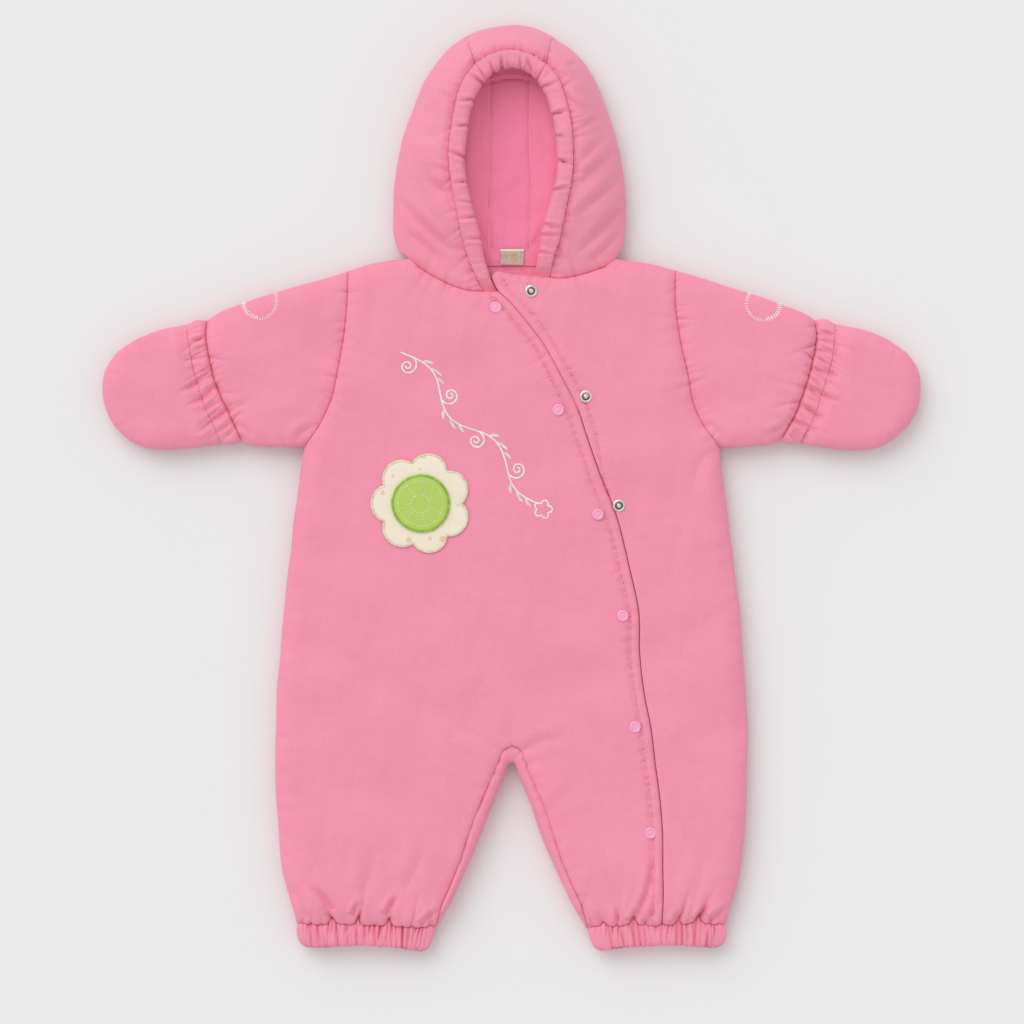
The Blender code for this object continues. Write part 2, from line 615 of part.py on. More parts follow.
def gathered_top(plan, loft):
    """Top of a gathered band: every other column from seam to seam dips between two gathers."""
    z = padded_top(plan, loft, crown=0)
    z[:, 3:-3:2] -= GATHER_DEPTH
    return z


def wrist_band(name, side, cloth):
    """The gathered band between a sleeve and its mitten."""
    ends = []
    for line in (WRIST_SEAM, MITTEN_SEAM):
        sewn = cut_at(smooth(line), ACROSS_ARM)
        ends.append(np.stack([np.interp(ACROSS_BAND, ACROSS_ARM, sewn[:, k]) for k in (0, 1)], axis=1))
    along = [0, 0.5, 1]
    plan = fill(*ends, cut_at(smooth(BAND_UNDER), along), cut_at(smooth(BAND_TOP), along))
    return flat_tube(name, plan * (side, 1), lambda p: gathered_top(p, BAND_LOFT), cloth)


def mitten(name, side, upper, cloth):
    """One half of a mitten: its back, which shows, or its palm, which lies on the ground."""
    near = cut_at(smooth(MITTEN_SEAM), ACROSS_ARM)
    far = cut_at(smooth(MITTEN_TIP), np.linspace(0, 1, len(ACROSS_ARM)))
    along = [0, 0.12, 0.35, 0.65, 0.88, 1]
    plan = fill(near, far, cut_at(smooth(MITTEN_UNDER), along), cut_at(smooth(MITTEN_TOP), along))
    seam = [(smooth(MITTEN_SEAM) * (side, 1), 4.5, 12.0)]
    if upper:
        return wall(name, [plan * (side, 1)], lambda p: padded_top(p, MITTEN_LOFT, seam, 1.5),
                    lambda p: 0 * p[:, 0] + PLY + GAP / 2, cloth)
    return wall(name, [plan * (side, 1)], lambda p: 0 * p[:, 0] + PLY - GAP / 2, under_side, cloth)


def ankle_cuff(name, side, cloth):
    """The gathered cuff at an ankle, with its open mouth at the hem."""
    along = [0, 0.5, 1]
    plan = fill(cut_at(smooth(ANKLE), ACROSS_CUFF), cut_at(smooth(CUFF_HEM), ACROSS_CUFF),
                cut_at(smooth(CUFF_OUTER), along), cut_at(smooth(CUFF_INNER), along))
    return flat_tube(name, plan * (side, 1), lambda p: gathered_top(p, CUFF_LOFT), cloth, mouth=CUFF_MOUTH)


# ------------------------------------------------------------------ the hood
def hood_height(up):
    return np.interp(up, HOOD_RISE["up"], HOOD_RISE["front"])


def hood_side_lines(side):
    """The outline, edge seam, opening and back seam of one hood side, each cut from the neck to the crown."""
    outline = cut_at(smooth(HOOD_OUTLINE), UP_HOOD) * (side, 1)
    outline[1:] += (HOOD_X, 0)
    end = {-1: [(-22.5, 157.2), (-27.5, 168)], 1: [(31, 168.4)]}[side]
    rim = smooth(end + shifted([(side * x, y) for x, y in RIM_OUTER], RIM_X))
    mouth_end = {-1: [(-11.4, 157.8), (-15.4, 166), (-18.2, 174)], 1: [(17.9, 169.8)]}[side]
    mouth = smooth(mouth_end + shifted([(side * x, y) for x, y in OPENING], RIM_X))
    seam = smooth(shifted([(side * x, y) for x, y in HOOD_SEAM], HOOD_X))
    return [outline] + [cut_at(line, UP_HOOD) for line in (rim, mouth, seam)]


def inwards(outline, towards, by):
    step = towards - outline
    return outline + step / np.linalg.norm(step, axis=1)[:, None] * by


def hood_front_top(plan, outline, rim):
    """Height of the hood's front between its outline and its edge seam."""
    span = np.linalg.norm(rim - outline, axis=1)[:, None]
    share = np.linalg.norm(plan - outline[:, None], axis=2) / span
    low = PLY + EDGE
    return low + (hood_height(rim[:, 1])[:, None] - low) * np.sin(math.pi / 2 * np.clip(share, 0, 1) ** 0.75)


def folded_wall(name, outline, fold, front, rear, z_front, colour):
    """A hood panel that comes up from under the head, folds at the outline, and runs on to the edge seam.

    outline, fold: the outer fold and the inner one. front, rear: grids from the fold to the edge seam
    and to the seam underneath."""
    strip = straight(outline, fold, [0, 0.12, 0.45, 1])
    z_strip = z_front(strip)
    z_strip[:, 0] = PLY + EDGE
    z_under_strip, z_under = under_hood(strip, outline), under_hood(rear, outline)
    z_top = z_front(front)
    inner_front = np.maximum(z_top - HOOD_WALL, PLY + LINING_ROOM)
    inner_rear = np.full(rear.shape[:2], PLY - GAP / 2)
    solid = Solid()
    solid.sheet(strip, z_strip)
    solid.sheet(front, z_top)
    solid.sheet(strip, z_under_strip)
    solid.sheet(rear, z_under)
    solid.sheet(front, inner_front)
    solid.sheet(rear, inner_rear)
    solid.curtain(outline, np.stack([z_under_strip[:, 0], z_strip[:, 0]], axis=1))
    solid.curtain(fold, np.stack([inner_rear[:, 0], inner_front[:, 0]], axis=1))
    solid.curtain(front[:, -1], np.stack([inner_front[:, -1], z_top[:, -1]], axis=1))
    solid.curtain(rear[:, -1], np.stack([z_under[:, -1], inner_rear[:, -1]], axis=1))
    for row in (0, -1):
        levels = [[low, high] for low, high in zip(z_under_strip[row], z_strip[row])]
        levels[-1] = [z_under_strip[row, -1], inner_rear[row, 0], inner_front[row, 0], z_strip[row, -1]]
        solid.curtain(strip[row], levels)
        solid.curtain(front[row], np.stack([inner_front[row], z_top[row]], axis=1))
        solid.curtain(rear[row], np.stack([z_under[row], inner_rear[row]], axis=1))
    return solid.finish(name, colour)


def under_hood(plan, outline):
    inside = distance(plan, outline)
    return (PLY - EDGE) * (1 - rounded(inside / UNDER_ROLL))


def gap_rows(*grids):
    """Draws the first and last rows of grids in by half a gap."""
    for grid in grids:
        for end, inner in ((0, 1), (-1, -2)):
            step = grid[inner] - grid[end]
            grid[end] += step / np.maximum(np.linalg.norm(step, axis=-1), 1e-6)[..., None] * GAP / 2


def hood_side(name, side, cloth):
    outline, rim, _, seam = hood_side_lines(side)
    fold = inwards(outline, rim, HOOD_WALL)
    fold[0] = (side * NECK_FOLD[0], NECK_FOLD[1])
    front_shares = np.linspace(0, 1, 8)
    neck = smooth(NECK_RIGHT if side < 0 else NECK_LEFT[::-1])
    stop = shares_of(neck)[np.argmin(np.linalg.norm(neck - rim[0], axis=1))]
    front = straight(fold, rim, front_shares)
    bend = cut_at(neck, stop * front_shares) - front[0]
    front[0] += bend
    front[1] += 0.4 * bend
    seam = beside(seam, side * GAP)
    rear = straight(fold, seam, [0, 0.4, 1])
    for i in (1, 2):
        rear[0, i] = neck_cut(NECK_BACK, rear[0, i, 0])
    front[:, -1] = inwards(front[:, -1], front[:, -2], GAP / 2)
    gap_rows(outline, fold, front, rear)
    front[:, 0] = rear[:, 0] = fold
    return folded_wall(name, outline, fold, front, rear,
                       lambda plan: hood_front_top(plan, outline, rim), cloth)


def hood_centre(cloth):
    """The strip over the crown and down the back of the hood, between the two sides."""
    outline = cut_at(smooth(shifted(HOOD_TOP, HOOD_X)), ACROSS_CROWN)
    rim = cut_at(smooth(shifted(RIM_TOP, RIM_X)), ACROSS_CROWN)
    fold = inwards(outline, rim, HOOD_WALL)
    front = straight(fold, rim, [0, 0.5, 1])
    seam = cut_at(smooth(HOOD_SEAM), UP_HOOD)[::-1]
    rear = []
    for i, share in enumerate(ACROSS_CROWN):
        level = fold[0][1] + share * (fold[-1][1] - fold[0][1])
        rise = (fold[i][1] - level) * eased((seam[:, 1] - 310) / 40)
        down = np.stack([HOOD_X + (2 * share - 1) * seam[:, 0], seam[:, 1] + rise], axis=1)
        rear.append(np.concatenate([[fold[i]], down[1:]]))
    rear = np.array(rear)
    neck = smooth(NECK_BACK)
    rear[:, -1, 1] = np.interp(rear[:, -1, 0], neck[:, 0], neck[:, 1]) + GAP / 2
    front[:, -1] = inwards(front[:, -1], front[:, -2], GAP / 2)
    gap_rows(outline, fold, front, rear)
    front[:, 0] = rear[:, 0] = fold
    return folded_wall("hood_centre", outline, fold, front, rear,
                       lambda plan: hood_front_top(plan, outline, rim), cloth)


def hood_edge(name, rim, mouth, colour, sides=10):
    """A stretch of the padded casing round the face opening, between its seam and its free edge."""
    gap = inwards(rim, mouth, GAP)
    rings = []
    for outer, inner in zip(gap, mouth):
        half = np.interp(outer[1], HOOD_RISE["up"], HOOD_RISE["half"])
        centre, reach = (outer + inner) / 2, (outer - inner) / 2
        middle = hood_height(outer[1]) + 2 - half
        ring = []
        for k in range(sides):
            a = math.tau * (k + 0.5) / sides
            wide, high = math.cos(a), math.sin(a)
            full = (abs(wide) ** 2.6 + abs(high) ** 2.6) ** (-1 / 2.6)
            ring.append((*(centre + reach * wide * full), middle + half * high * full))
        rings.append(ring)
    rings = np.array(rings)
    gap_rows(rings)
    return ring_solid(name, rings, colour)


def hood_lining(lining):
    """The lining where it shows through the face opening: two sides and the strip between them."""
    thick = 1.2

    def heights(plan, outline_distance):
        lift = 3.0 * (1 - eased((outline_distance - HOOD_WALL) / 22)) * eased((plan[:, 1] - 240) / 40)
        return PLY + GAP / 2 + lift + 9.0 * eased((plan[:, 1] - 327) / 32)

    outlines = [smooth(shifted(flip(HOOD_OUTLINE), HOOD_X)), smooth(shifted(HOOD_OUTLINE, HOOD_X))]

    def under(plan):
        return heights(plan, np.min([distance(plan, line) for line in outlines], axis=0))

    up = [0, 0.12, 0.3, 0.5, 0.7, 0.86, 1]
    for name, side in (("hood_lining_right", -1), ("hood_lining_left", 1)):
        outline = cut_at(smooth(shifted([(side * x, y) for x, y in HOOD_OUTLINE], HOOD_X)), up)
        seam = cut_at(part_of(smooth(shifted([(side * x, y) for x, y in HOOD_SEAM], HOOD_X)), 179.6, 340), up)
        far = inwards(outline, seam, HOOD_WALL + 1.2)
        far[0] = neck_cut(NECK_BACK if side < 0 else flip(NECK_BACK), side * 72) + (0, 0.4)
        far[-1] = (HOOD_X + side * 34, 346)
        wall(name, [straight(far, seam, [0, 0.25, 0.6, 1])], lambda p: under(p) + thick, under, lining)
    rows = np.array([180, 215, 260, 300, 325, 333, 341, 349, 355])
    half = np.minimum(at_up(smooth(HOOD_SEAM), rows)[:, 0], 17)
    seams = [np.stack([HOOD_X + side * half, rows], axis=1) for side in (-1, 1)]
    grid = straight(seams[0], seams[1], [0, 0.5, 1])
    return wall("hood_lining_centre", [grid], lambda p: under(p) + thick, under, lining)


def hood(cloth, lining):
    edges = {}
    for name, side in (("right", -1), ("left", 1)):
        hood_side("hood_side_" + name, side, cloth)
        _, rim, mouth, _ = hood_side_lines(side)
        edges[side] = hood_edge("hood_edge_" + name, rim, mouth, cloth)
    hood_centre(cloth)
    rim = cut_at(smooth(shifted(RIM_TOP, RIM_X)), ACROSS_CROWN)
    mouth = cut_at(smooth(shifted(OPENING_TOP, RIM_X)), ACROSS_CROWN)
    hood_edge("hood_edge_top", rim, mouth, cloth)
    return hood_lining(lining)


# ------------------------------------------------------------------ fittings and trims
CAP_PROFILE = [(0, 0), (SNAP_CAP_RADIUS, 0), (SNAP_CAP_RADIUS, 1.2), (SNAP_CAP_RADIUS - 1.2, 1.9),
               (SNAP_CAP_RADIUS - 2.2, 1.4), (0, 1.7)]
STUD_PROFILE = [(0, 0), (STUD_RADIUS, 0), (STUD_RADIUS, 1.1), (STUD_RADIUS - 1.9, 1.1), (2.2, 1.1),
                (1.8, 2.9), (0, 3.1)]


def flower(ground, cream, green):
    """The applique: a ring of petals cut in one piece, and a round disc on it."""
    x0, y0 = FLOWER_CENTRE

    def petal_edge(turn):
        return FLOWER_REACH * (0.8 + 0.2 * abs(math.sin(turn * FLOWER_PETALS / 2)) ** 0.7)

    def plate(name, reach, rings, turns, height, colour):
        bm = bmesh.new()
        centre = bm.verts.new((x0, y0, 0))
        loops = [[bm.verts.new((x0 + share * reach(a) * math.cos(a), y0 + share * reach(a) * math.sin(a), 0))
                  for a in turns] for share in rings]
        for i in range(len(turns)):
            j = (i + 1) % len(turns)
            bm.faces.new([centre, loops[0][i], loops[0][j]])
            for inner, outer in zip(loops[:-1], loops[1:]):
                bm.faces.new([inner[i], outer[i], outer[j], inner[j]])
        lower = list(bm.verts)
        made = bmesh.ops.extrude_face_region(bm, geom=list(bm.faces))
        upper = [item for item in made["geom"] if isinstance(item, bmesh.types.BMVert)]
        for verts, lift in ((lower, 0), (upper, APPLIQUE_THICK)):
            for vert in verts:
                vert.co.z = height(vert.co.x, vert.co.y) + GAP + lift
        return to_object(bm, name, colour)

    turns = [math.tau * k / (6 * FLOWER_PETALS) for k in range(6 * FLOWER_PETALS)]
    petals = plate("flower_petals", petal_edge, (0.5, 1), turns, ground, cream)
    turns = [math.tau * k / 20 for k in range(20)]
    plate("flower_disc", lambda a: FLOWER_DISC, (0.5, 1), turns, surface_of(petals), green)


def neck_label(lining, woven):
    """The small woven label that is caught in the neck seam and lies on the hood's lining."""
    height = surface_of(lining)
    (left, right), (low, high) = LABEL["x"], LABEL["up"]
    base = max(height(x, y) for x in (left, 0, right) for y in (low, high)) + GAP
    bm = bmesh.new()
    bmesh.ops.create_cube(bm, size=1)
    size = (right - left, high - low, LABEL["thick"])
    place = ((left + right) / 2, (low + high) / 2, base + LABEL["thick"] / 2)
    bm.transform(Matrix.Translation(place) @ Matrix.Diagonal((*size, 1)))
    return to_object(bm, "neck_label", woven)


def main():
    for old in list(bpy.data.objects):
        bpy.data.objects.remove(old)
    cloth = material("padded_cloth", (0.82, 0.24, 0.39), 0.75)
    lining = material("lining_cloth", (0.8, 0.2, 0.36), 0.8)
    cream = material("cream_cotton", (0.85, 0.78, 0.62), 0.85)
    green = material("green_felt", (0.45, 0.6, 0.12), 0.9)
    woven = material("label_tape", (0.6, 0.52, 0.4), 0.8)
    plastic = material("snap_plastic", (0.95, 0.42, 0.62), 0.35)
    steel = material("snap_steel", (0.75, 0.75, 0.73), 0.25, metallic=1.0)

    back(cloth)
    right, left = front_right(cloth), front_left(cloth)
    leg_gusset(cloth)
    for name, side in (("right", -1), ("left", 1)):
        sleeve("sleeve_" + name, side, cloth)
        wrist_band("wrist_band_" + name, side, cloth)
        mitten("mitten_back_" + name, side, True, cloth)
        mitten("mitten_palm_" + name, side, False, cloth)
        ankle_cuff("ankle_cuff_" + name, side, cloth)
    lining_strip = hood(cloth, lining)
    neck_label(lining_strip, woven)
    on_right, on_left = surface_of(right), surface_of(left)
    for number, centre in enumerate(SNAP_CAPS, 1):
        turned(f"snap_cap_{number}", CAP_PROFILE, centre, seat(on_right, centre, SNAP_CAP_RADIUS), plastic)
    for number, centre in enumerate(SNAP_STUDS, 1):
        turned(f"snap_stud_{number}", STUD_PROFILE, centre, seat(on_left, centre, STUD_RADIUS), steel)
    flower(on_right, cream, green)


main()
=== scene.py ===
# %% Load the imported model
import math

import bmesh
import bpy
import numpy as np
from mathutils import Matrix, Vector
from mathutils.bvhtree import BVHTree


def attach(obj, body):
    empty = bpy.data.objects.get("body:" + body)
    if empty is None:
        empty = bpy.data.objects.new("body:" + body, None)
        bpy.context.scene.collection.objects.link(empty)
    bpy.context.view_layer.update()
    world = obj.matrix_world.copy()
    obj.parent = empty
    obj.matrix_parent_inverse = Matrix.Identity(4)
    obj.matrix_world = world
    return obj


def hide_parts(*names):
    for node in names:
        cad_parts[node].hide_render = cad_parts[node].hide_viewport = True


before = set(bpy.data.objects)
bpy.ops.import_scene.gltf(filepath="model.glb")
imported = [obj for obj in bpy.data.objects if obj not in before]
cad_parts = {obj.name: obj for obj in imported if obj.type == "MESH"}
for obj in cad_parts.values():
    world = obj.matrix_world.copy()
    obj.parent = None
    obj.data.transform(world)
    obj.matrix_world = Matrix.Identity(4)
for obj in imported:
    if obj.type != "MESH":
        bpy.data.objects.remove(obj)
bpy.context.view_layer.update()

# %% [markdown]
# # A padded pram suit, laid flat
# A pram suit is sewn from a peach-skin shell, a wadding and a lining. Each panel is cut flat, sewn at its
# border and turned, so the wadding rounds it over at every seam and the spare cloth of the upper ply runs
# away from the seams in short uneven creases. A garment that lies still is mostly seams, and each seam's
# place is known from the cut. So the panels here are the cut itself: grids between the cut lines, raised
# by the padding and marked by creases. The plan is in millimetres. A finished shell is made metres.

# %% Sizes of the padding
PLY = 12.0  # where the fronts lie on the back
GAP = 0.3  # between plies that lie on each other
SEAM = 0.06  # between panels that are sewn to each other
EDGE = 2.0  # how far a layer stands up at its outline
BODY_LOFT = 11.0
ARM_LOFT = 10.0
BAND_LOFT = 8.3
CUFF_LOFT = 6.7
CUFF_MOUTH = 2.4
CROWN = 3.0
CROWN_REACH = 60.0
SIDE_ROLL = 16.0
UNDER_ROLL = 11.0
LAP = 20.0
LAP_TOP = 17.4
LAP_ROOM = 18.1
LAP_LIFT = 22.0
LAP_EDGE = 0.12
LAP_CLOSE = 0.6  # how near the closure the left front is back at its full height
STRIP_RIGHT = 30.0
STRIP_LEFT = 14.0
HOOD_WALL = 9.0
LINING_ROOM = 2.2
THINNEST = 1.2  # of a layer where a seam holds it down
FULL_IN = 130.0  # how far in from its outline the padding still changes
UNDER_SHARE = 0.6  # how much of a crease shows on the underside
SEWN = 0.02  # grids of one panel are joined at points that lie this close
WELD = 0.002
DRAW_LIMIT = 0.4  # keeps a pointed corner from being drawn in too far
SHARP_EDGE = 62  # degrees

# %% [markdown]
# ## The cut
# These are the lines that a cutter would mark, as (out from the centre line, up). The halves mirror each
# other, so most lines are given once. The slanting closure and the neck are the exceptions.

# %% Lines of one half
SIDE_SEAM = [(171.5, -347), (181.5, -313), (187, -265), (189, -206), (184.5, -121), (175, -37), (166, 33.5)]
ARMHOLE = [(166, 33.5), (153.5, 50), (146, 66), (140, 90), (135, 114), (131.5, 145), (131, 174)]
SHOULDER = [(131, 174), (105, 180.8), (83, 184.4)]
ANKLE = [(171.5, -347), (118, -347.6), (61, -350)]
INSEAM_SEAM = [(61, -350), (56, -335), (48.8, -318), (41.6, -299), (35.6, -280), (29.3, -263),
               (22.4, -246), (15, -228.4), (9.6, -215), (7.6, -210), (4.6, -207.2), (0, -206)]
INSEAM_EDGE = [(59, -350), (50, -336), (39.4, -313), (29.2, -289), (19.6, -265), (10.4, -241),
               (5.6, -229), (3.6, -223), (2.2, -220.4), (0, -219.6)]
SLEEVE_TOP = [(131, 174), (171, 162), (199, 153), (217, 147), (234, 140.8), (243.4, 134.5)]
SLEEVE_UNDER = [(166, 33.5), (181, 33), (196, 33.8), (208, 35.2), (215.6, 38.5)]
WRIST_SEAM = [(215.6, 38.5), (223, 52.5), (230.5, 69), (237.6, 88.5), (241.8, 107), (244, 122),
              (243.4, 134.5)]
BAND_TOP = [(243.4, 134.5), (251.5, 135), (259, 131)]
BAND_UNDER = [(215.6, 38.5), (222.8, 35.6), (231, 36)]
MITTEN_SEAM = [(231, 36), (234.5, 43.5), (241.8, 58), (248.6, 76.6), (254, 94.5), (258, 115), (259, 131)]
MITTEN_TOP = [(259, 131), (283, 126.2), (300, 119.5)]
MITTEN_UNDER = [(231, 36), (255, 31.8), (278, 30.6), (293, 32.5), (305.5, 38.5)]
MITTEN_TIP = [(305.5, 38.5), (318, 51), (325, 65), (327.3, 80), (325.5, 93), (317, 107), (300, 119.5)]
CUFF_OUTER = [(171.5, -347), (171.8, -356), (169, -363.5), (163, -366.8)]
CUFF_INNER = [(61, -350), (63, -360), (66.4, -367.2), (72.5, -370)]
CUFF_HEM = [(163, -366.8), (132, -365.8), (98, -366.6), (72.5, -370)]

# %% The closure, the neck and the hood
CLOSURE = [(120.3, -347.8), (121, -299), (120, -264), (114.5, -217), (108.5, -178), (102.3, -130),
           (100.7, -94), (93, -57), (85, -28), (70, 13), (60.5, 40), (48.5, 72), (33.5, 102),
           (15, 130), (-1, 148.7), (-10.6, 157.6)]
CLOSURE_TIP = [(-10.6, 157.6), (-14.4, 165.4), (-15.6, 169.5)]
NECK_FOLD = (75, 177.2)
NECK_RIGHT = [(-75, 177.2), (-61, 168.8), (-46.2, 161.6), (-34.3, 158), (-22.5, 157.2), (-10.6, 157.6)]
NECK_LEFT = [(-15.6, 169.5), (-14.2, 172.4), (-11, 173.5), (-6, 172.8), (3.5, 170.9), (17.5, 169.8),
             (31, 168.4), (43, 168), (57.2, 170.6), (75, 177.2)]
NECK_BACK = [(-75, 177.2), (-45, 177.6), (0, 178), (45, 177.6), (75, 177.2)]
HOOD_X = -1.4  # the hood's own centre line
RIM_X = -0.4
HOOD_OUTLINE = [(83, 184.4), (88.6, 190), (92.2, 202), (93.2, 222), (90.6, 252), (84.6, 282),
                (76.4, 307), (65.2, 331), (49.4, 351), (34.4, 362)]
HOOD_TOP = [(-34.4, 362), (-25, 366.4), (-13, 369.2), (0, 370), (13, 369.2), (25, 366.4), (34.4, 362)]
RIM_OUTER = [(33, 180.8), (38.4, 198.4), (43.2, 219), (47.6, 242.6), (49.4, 268.1), (46.8, 294.5),
             (42, 313.5), (36, 327.9), (28, 337.2)]
RIM_TOP = [(-28, 337.2), (-15, 344.9), (0, 348), (15, 344.9), (28, 337.2)]
OPENING = [(21, 183.7), (25.6, 207.3), (31.2, 228.8), (35.4, 246.5), (36.6, 262.2), (35.2, 281.8),
           (31.6, 300.4), (26.6, 314.1), (20.5, 324.3)]
OPENING_TOP = [(-20.5, 324.3), (-12.6, 330.8), (0, 333.7), (12.6, 330.8), (20.5, 324.3)]
HOOD_RISE = {"up": [157, 170, 184, 210, 250, 290, 325, 351], "front": [22, 23, 27, 36, 44, 47, 45, 42],
             "half": [4.4, 4.6, 5.2, 6.4, 7.2, 7.2, 7.0, 7.0]}
HOOD_SEAM = [(16, 179.3), (16, 210), (15.5, 260), (15.5, 315), (18, 338), (24, 347), (30, 351.5)]
SNAP_CAPS = [(-12.8, 144.2), (37.1, 62.8), (68.4, -20.6), (88.1, -101.4), (98.4, -190.3), (111, -275.1)]
SNAP_STUDS = [(15.6, 157.6), (58.5, 72.9), (85.1, -14)]
# Where the casing's seam and free edge end at the neck.
RIM_ENDS = {-1: [(-22.5, 157.2), (-27.5, 168)], 1: [(31, 168.4)]}
MOUTH_ENDS = {-1: [(-11.4, 157.8), (-15.4, 166), (-18.2, 174)], 1: [(17.9, 169.8)]}


# %% Shares and smooth lines
def spread(count, press=0.75):
    """Shares from 0 to 1, closer together near both ends, where cloth turns sharply at its seams."""
    t = np.linspace(0, 1, count + 1)
    return t - press * np.sin(2 * math.pi * t) / (2 * math.pi)


ACROSS_ARM = spread(76)
UP_LEG = spread(96)
UP_TORSO = spread(118, 0.3)
IN_FROM_SIDE = spread(140, 0.4)
UP_HOOD = spread(220, 0.3)
ACROSS_CROWN = spread(84, 0.2)
ACROSS_CUFF = spread(250, 0.3)
ACROSS_WRIST = spread(190, 0.4)


def in_half(line, side=1, across=0.0):
    """A cut line in the half that side names, -1 for the suit's right, and moved across it."""
    return [(side * x + across, y) for x, y in line]


def walked(line):
    """How far along a line each of its points is."""
    return np.concatenate([[0], np.cumsum(np.linalg.norm(np.diff(line, axis=0), axis=1))])


def smooth(points, steps=10):
    """Closely spaced points on a smooth line through the given plan points."""
    knots = np.array(points, float)
    along = walked(knots)
    slope = np.gradient(knots, along, axis=0)
    t = np.linspace(0, 1, steps, endpoint=False)[:, None]
    line = []
    for i, span in enumerate(np.diff(along)):
        line.append((1 + 2 * t) * (1 - t) ** 2 * knots[i] + t * (1 - t) ** 2 * span * slope[i]
                    + t ** 2 * (3 - 2 * t) * knots[i + 1] + t ** 2 * (t - 1) * span * slope[i + 1])
    return np.concatenate(line + [knots[-1:]])


def curve(line, side=1, across=0.0, steps=10):
    return smooth(in_half(line, side, across), steps)


def shares_of(line):
    return walked(line) / walked(line)[-1]


def cut_at(line, shares):
    """Plan points at the given shares of a line's length."""
    return np.stack([np.interp(shares, shares_of(line), line[:, k]) for k in (0, 1)], axis=1)


def joined(*lines):
    """Lines that follow each other, with each shared point kept once."""
    return np.concatenate([lines[0]] + [line[1:] for line in lines[1:]])


def cut_run(lines, count):
    """Cuts a run of lines, end to end, into count steps in all, keeping the corners between them."""
    lines = [np.array(line, float) for line in lines]
    lengths = [walked(line)[-1] for line in lines]
    steps = [max(1, round(count * length / sum(lengths))) for length in lengths]
    steps[np.argmax(steps)] += count - sum(steps)
    return joined(*[cut_at(line, np.linspace(0, 1, n + 1)) for line, n in zip(lines, steps)])


def at_up(line, up):
    """The points of a line that climbs steadily, at the given heights up the suit."""
    up = np.atleast_1d(up)
    order = np.argsort(line[:, 1])
    return np.stack([np.interp(up, line[order, 1], line[order, 0]), up], axis=1)


def at_across(line, x):
    """The point of a cut line that runs across the suit, at the given x."""
    line = smooth(line)
    order = np.argsort(line[:, 0])
    return np.array([x, np.interp(x, line[order, 0], line[order, 1])])


def part_of(line, low, high):
    inside = line[(line[:, 1] > low) & (line[:, 1] < high)]
    return np.concatenate([at_up(line, low), inside, at_up(line, high)])


def beside(line, by):
    """A line moved sideways, to the right of someone who walks along it."""
    along = np.gradient(line, axis=0)
    along /= np.linalg.norm(along, axis=1)[:, None]
    return line + by * np.stack([along[:, 1], -along[:, 0]], axis=1)


def inwards(line, towards, by):
    step = towards - line
    return line + step / np.linalg.norm(step, axis=1)[:, None] * by


def fill(bottom, top, left, right):
    """A grid of plan points between four cut sides: bottom and top run to the right, the others up."""
    across = ((shares_of(bottom) + shares_of(top)) / 2)[None, :, None]
    up = ((shares_of(left) + shares_of(right)) / 2)[:, None, None]
    ruled = (1 - up) * bottom[None] + up * top[None] + (1 - across) * left[:, None] + across * right[:, None]
    corners = ((1 - across) * (1 - up) * bottom[0] + across * (1 - up) * bottom[-1]
               + (1 - across) * up * top[0] + across * up * top[-1])
    return ruled - corners


def straight(start, end, shares):
    """A grid whose rows run straight from one cut side to the other."""
    shares = np.array(shares)[None, :, None]
    return (1 - shares) * start[:, None] + shares * end[:, None]


def limb(lines, shares, side):
    """A grid between the near, far, under and top lines of a limb, each cut at its own shares."""
    return fill(*[cut_at(smooth(line), cuts) for line, cuts in zip(lines, shares)]) * (side, 1)


print("closure:", round(walked(smooth(CLOSURE))[-1]), "mm long")

# %% [markdown]
# ## Heights
# A padded ply rounds over towards the outline like a cushion, and dips where a seam holds it down.
# Everything that depends on a seam needs two numbers for each point of the grid: how far away the
# seam is, and how far along it the nearest place lies. `measured` gives both.

# %% Distances from lines
FAR = 1000.0


def measured(points, line, reach):
    """How far points are from a line, how far along it, and on which side. Beyond reach they are FAR."""
    flat = points.reshape(-1, 2)
    away, along, side = np.full(len(flat), FAR), np.zeros(len(flat)), np.ones(len(flat))
    low, high = line.min(axis=0) - reach, line.max(axis=0) + reach
    near = np.flatnonzero(((flat > low) & (flat < high)).all(axis=1))
    spot, best, place, turn = flat[near], away[near], along[near], side[near]
    done = 0.0
    for start, step in zip(line[:-1], np.diff(line, axis=0)):
        length = math.hypot(*step)
        if length < 1e-9 or not len(near):
            continue
        from_start = spot - start
        t = np.clip(from_start @ step / length ** 2, 0, 1)
        gap = np.hypot(*(from_start - t[:, None] * step).T)
        closer = gap < best
        best[closer] = gap[closer]
        place[closer] = done + t[closer] * length
        turn[closer] = np.sign(step[0] * from_start[closer, 1] - step[1] * from_start[closer, 0])
        done += length
    away[near], along[near], side[near] = best, place, turn
    return [a.reshape(points.shape[:-1]) for a in (away, along, side)]


def inside_of(points, lines):
    """How far plan points are from the nearest of some outlines."""
    return np.min([measured(points, line, FULL_IN)[0] for line in lines], axis=0)


def rounded(share):
    """0 to 1 as a quarter circle, steep at first."""
    return np.sqrt(1 - (1 - np.clip(share, 0, 1)) ** 2)


def eased(share):
    share = np.clip(share, 0, 1)
    return share * share * (3 - 2 * share)


def valley(share, soft):
    """1 at a seam and 0 at its reach: sharp at the bottom, or eased where soft is set."""
    return 1 - (eased(share) if soft else rounded(share))


OUTLINE = [curve(line, side, steps=4) for line in (
    SIDE_SEAM, SHOULDER, INSEAM_EDGE, SLEEVE_TOP, SLEEVE_UNDER, BAND_TOP, BAND_UNDER, MITTEN_TOP,
    MITTEN_UNDER, MITTEN_TIP, CUFF_OUTER, CUFF_INNER) for side in (1, -1)]


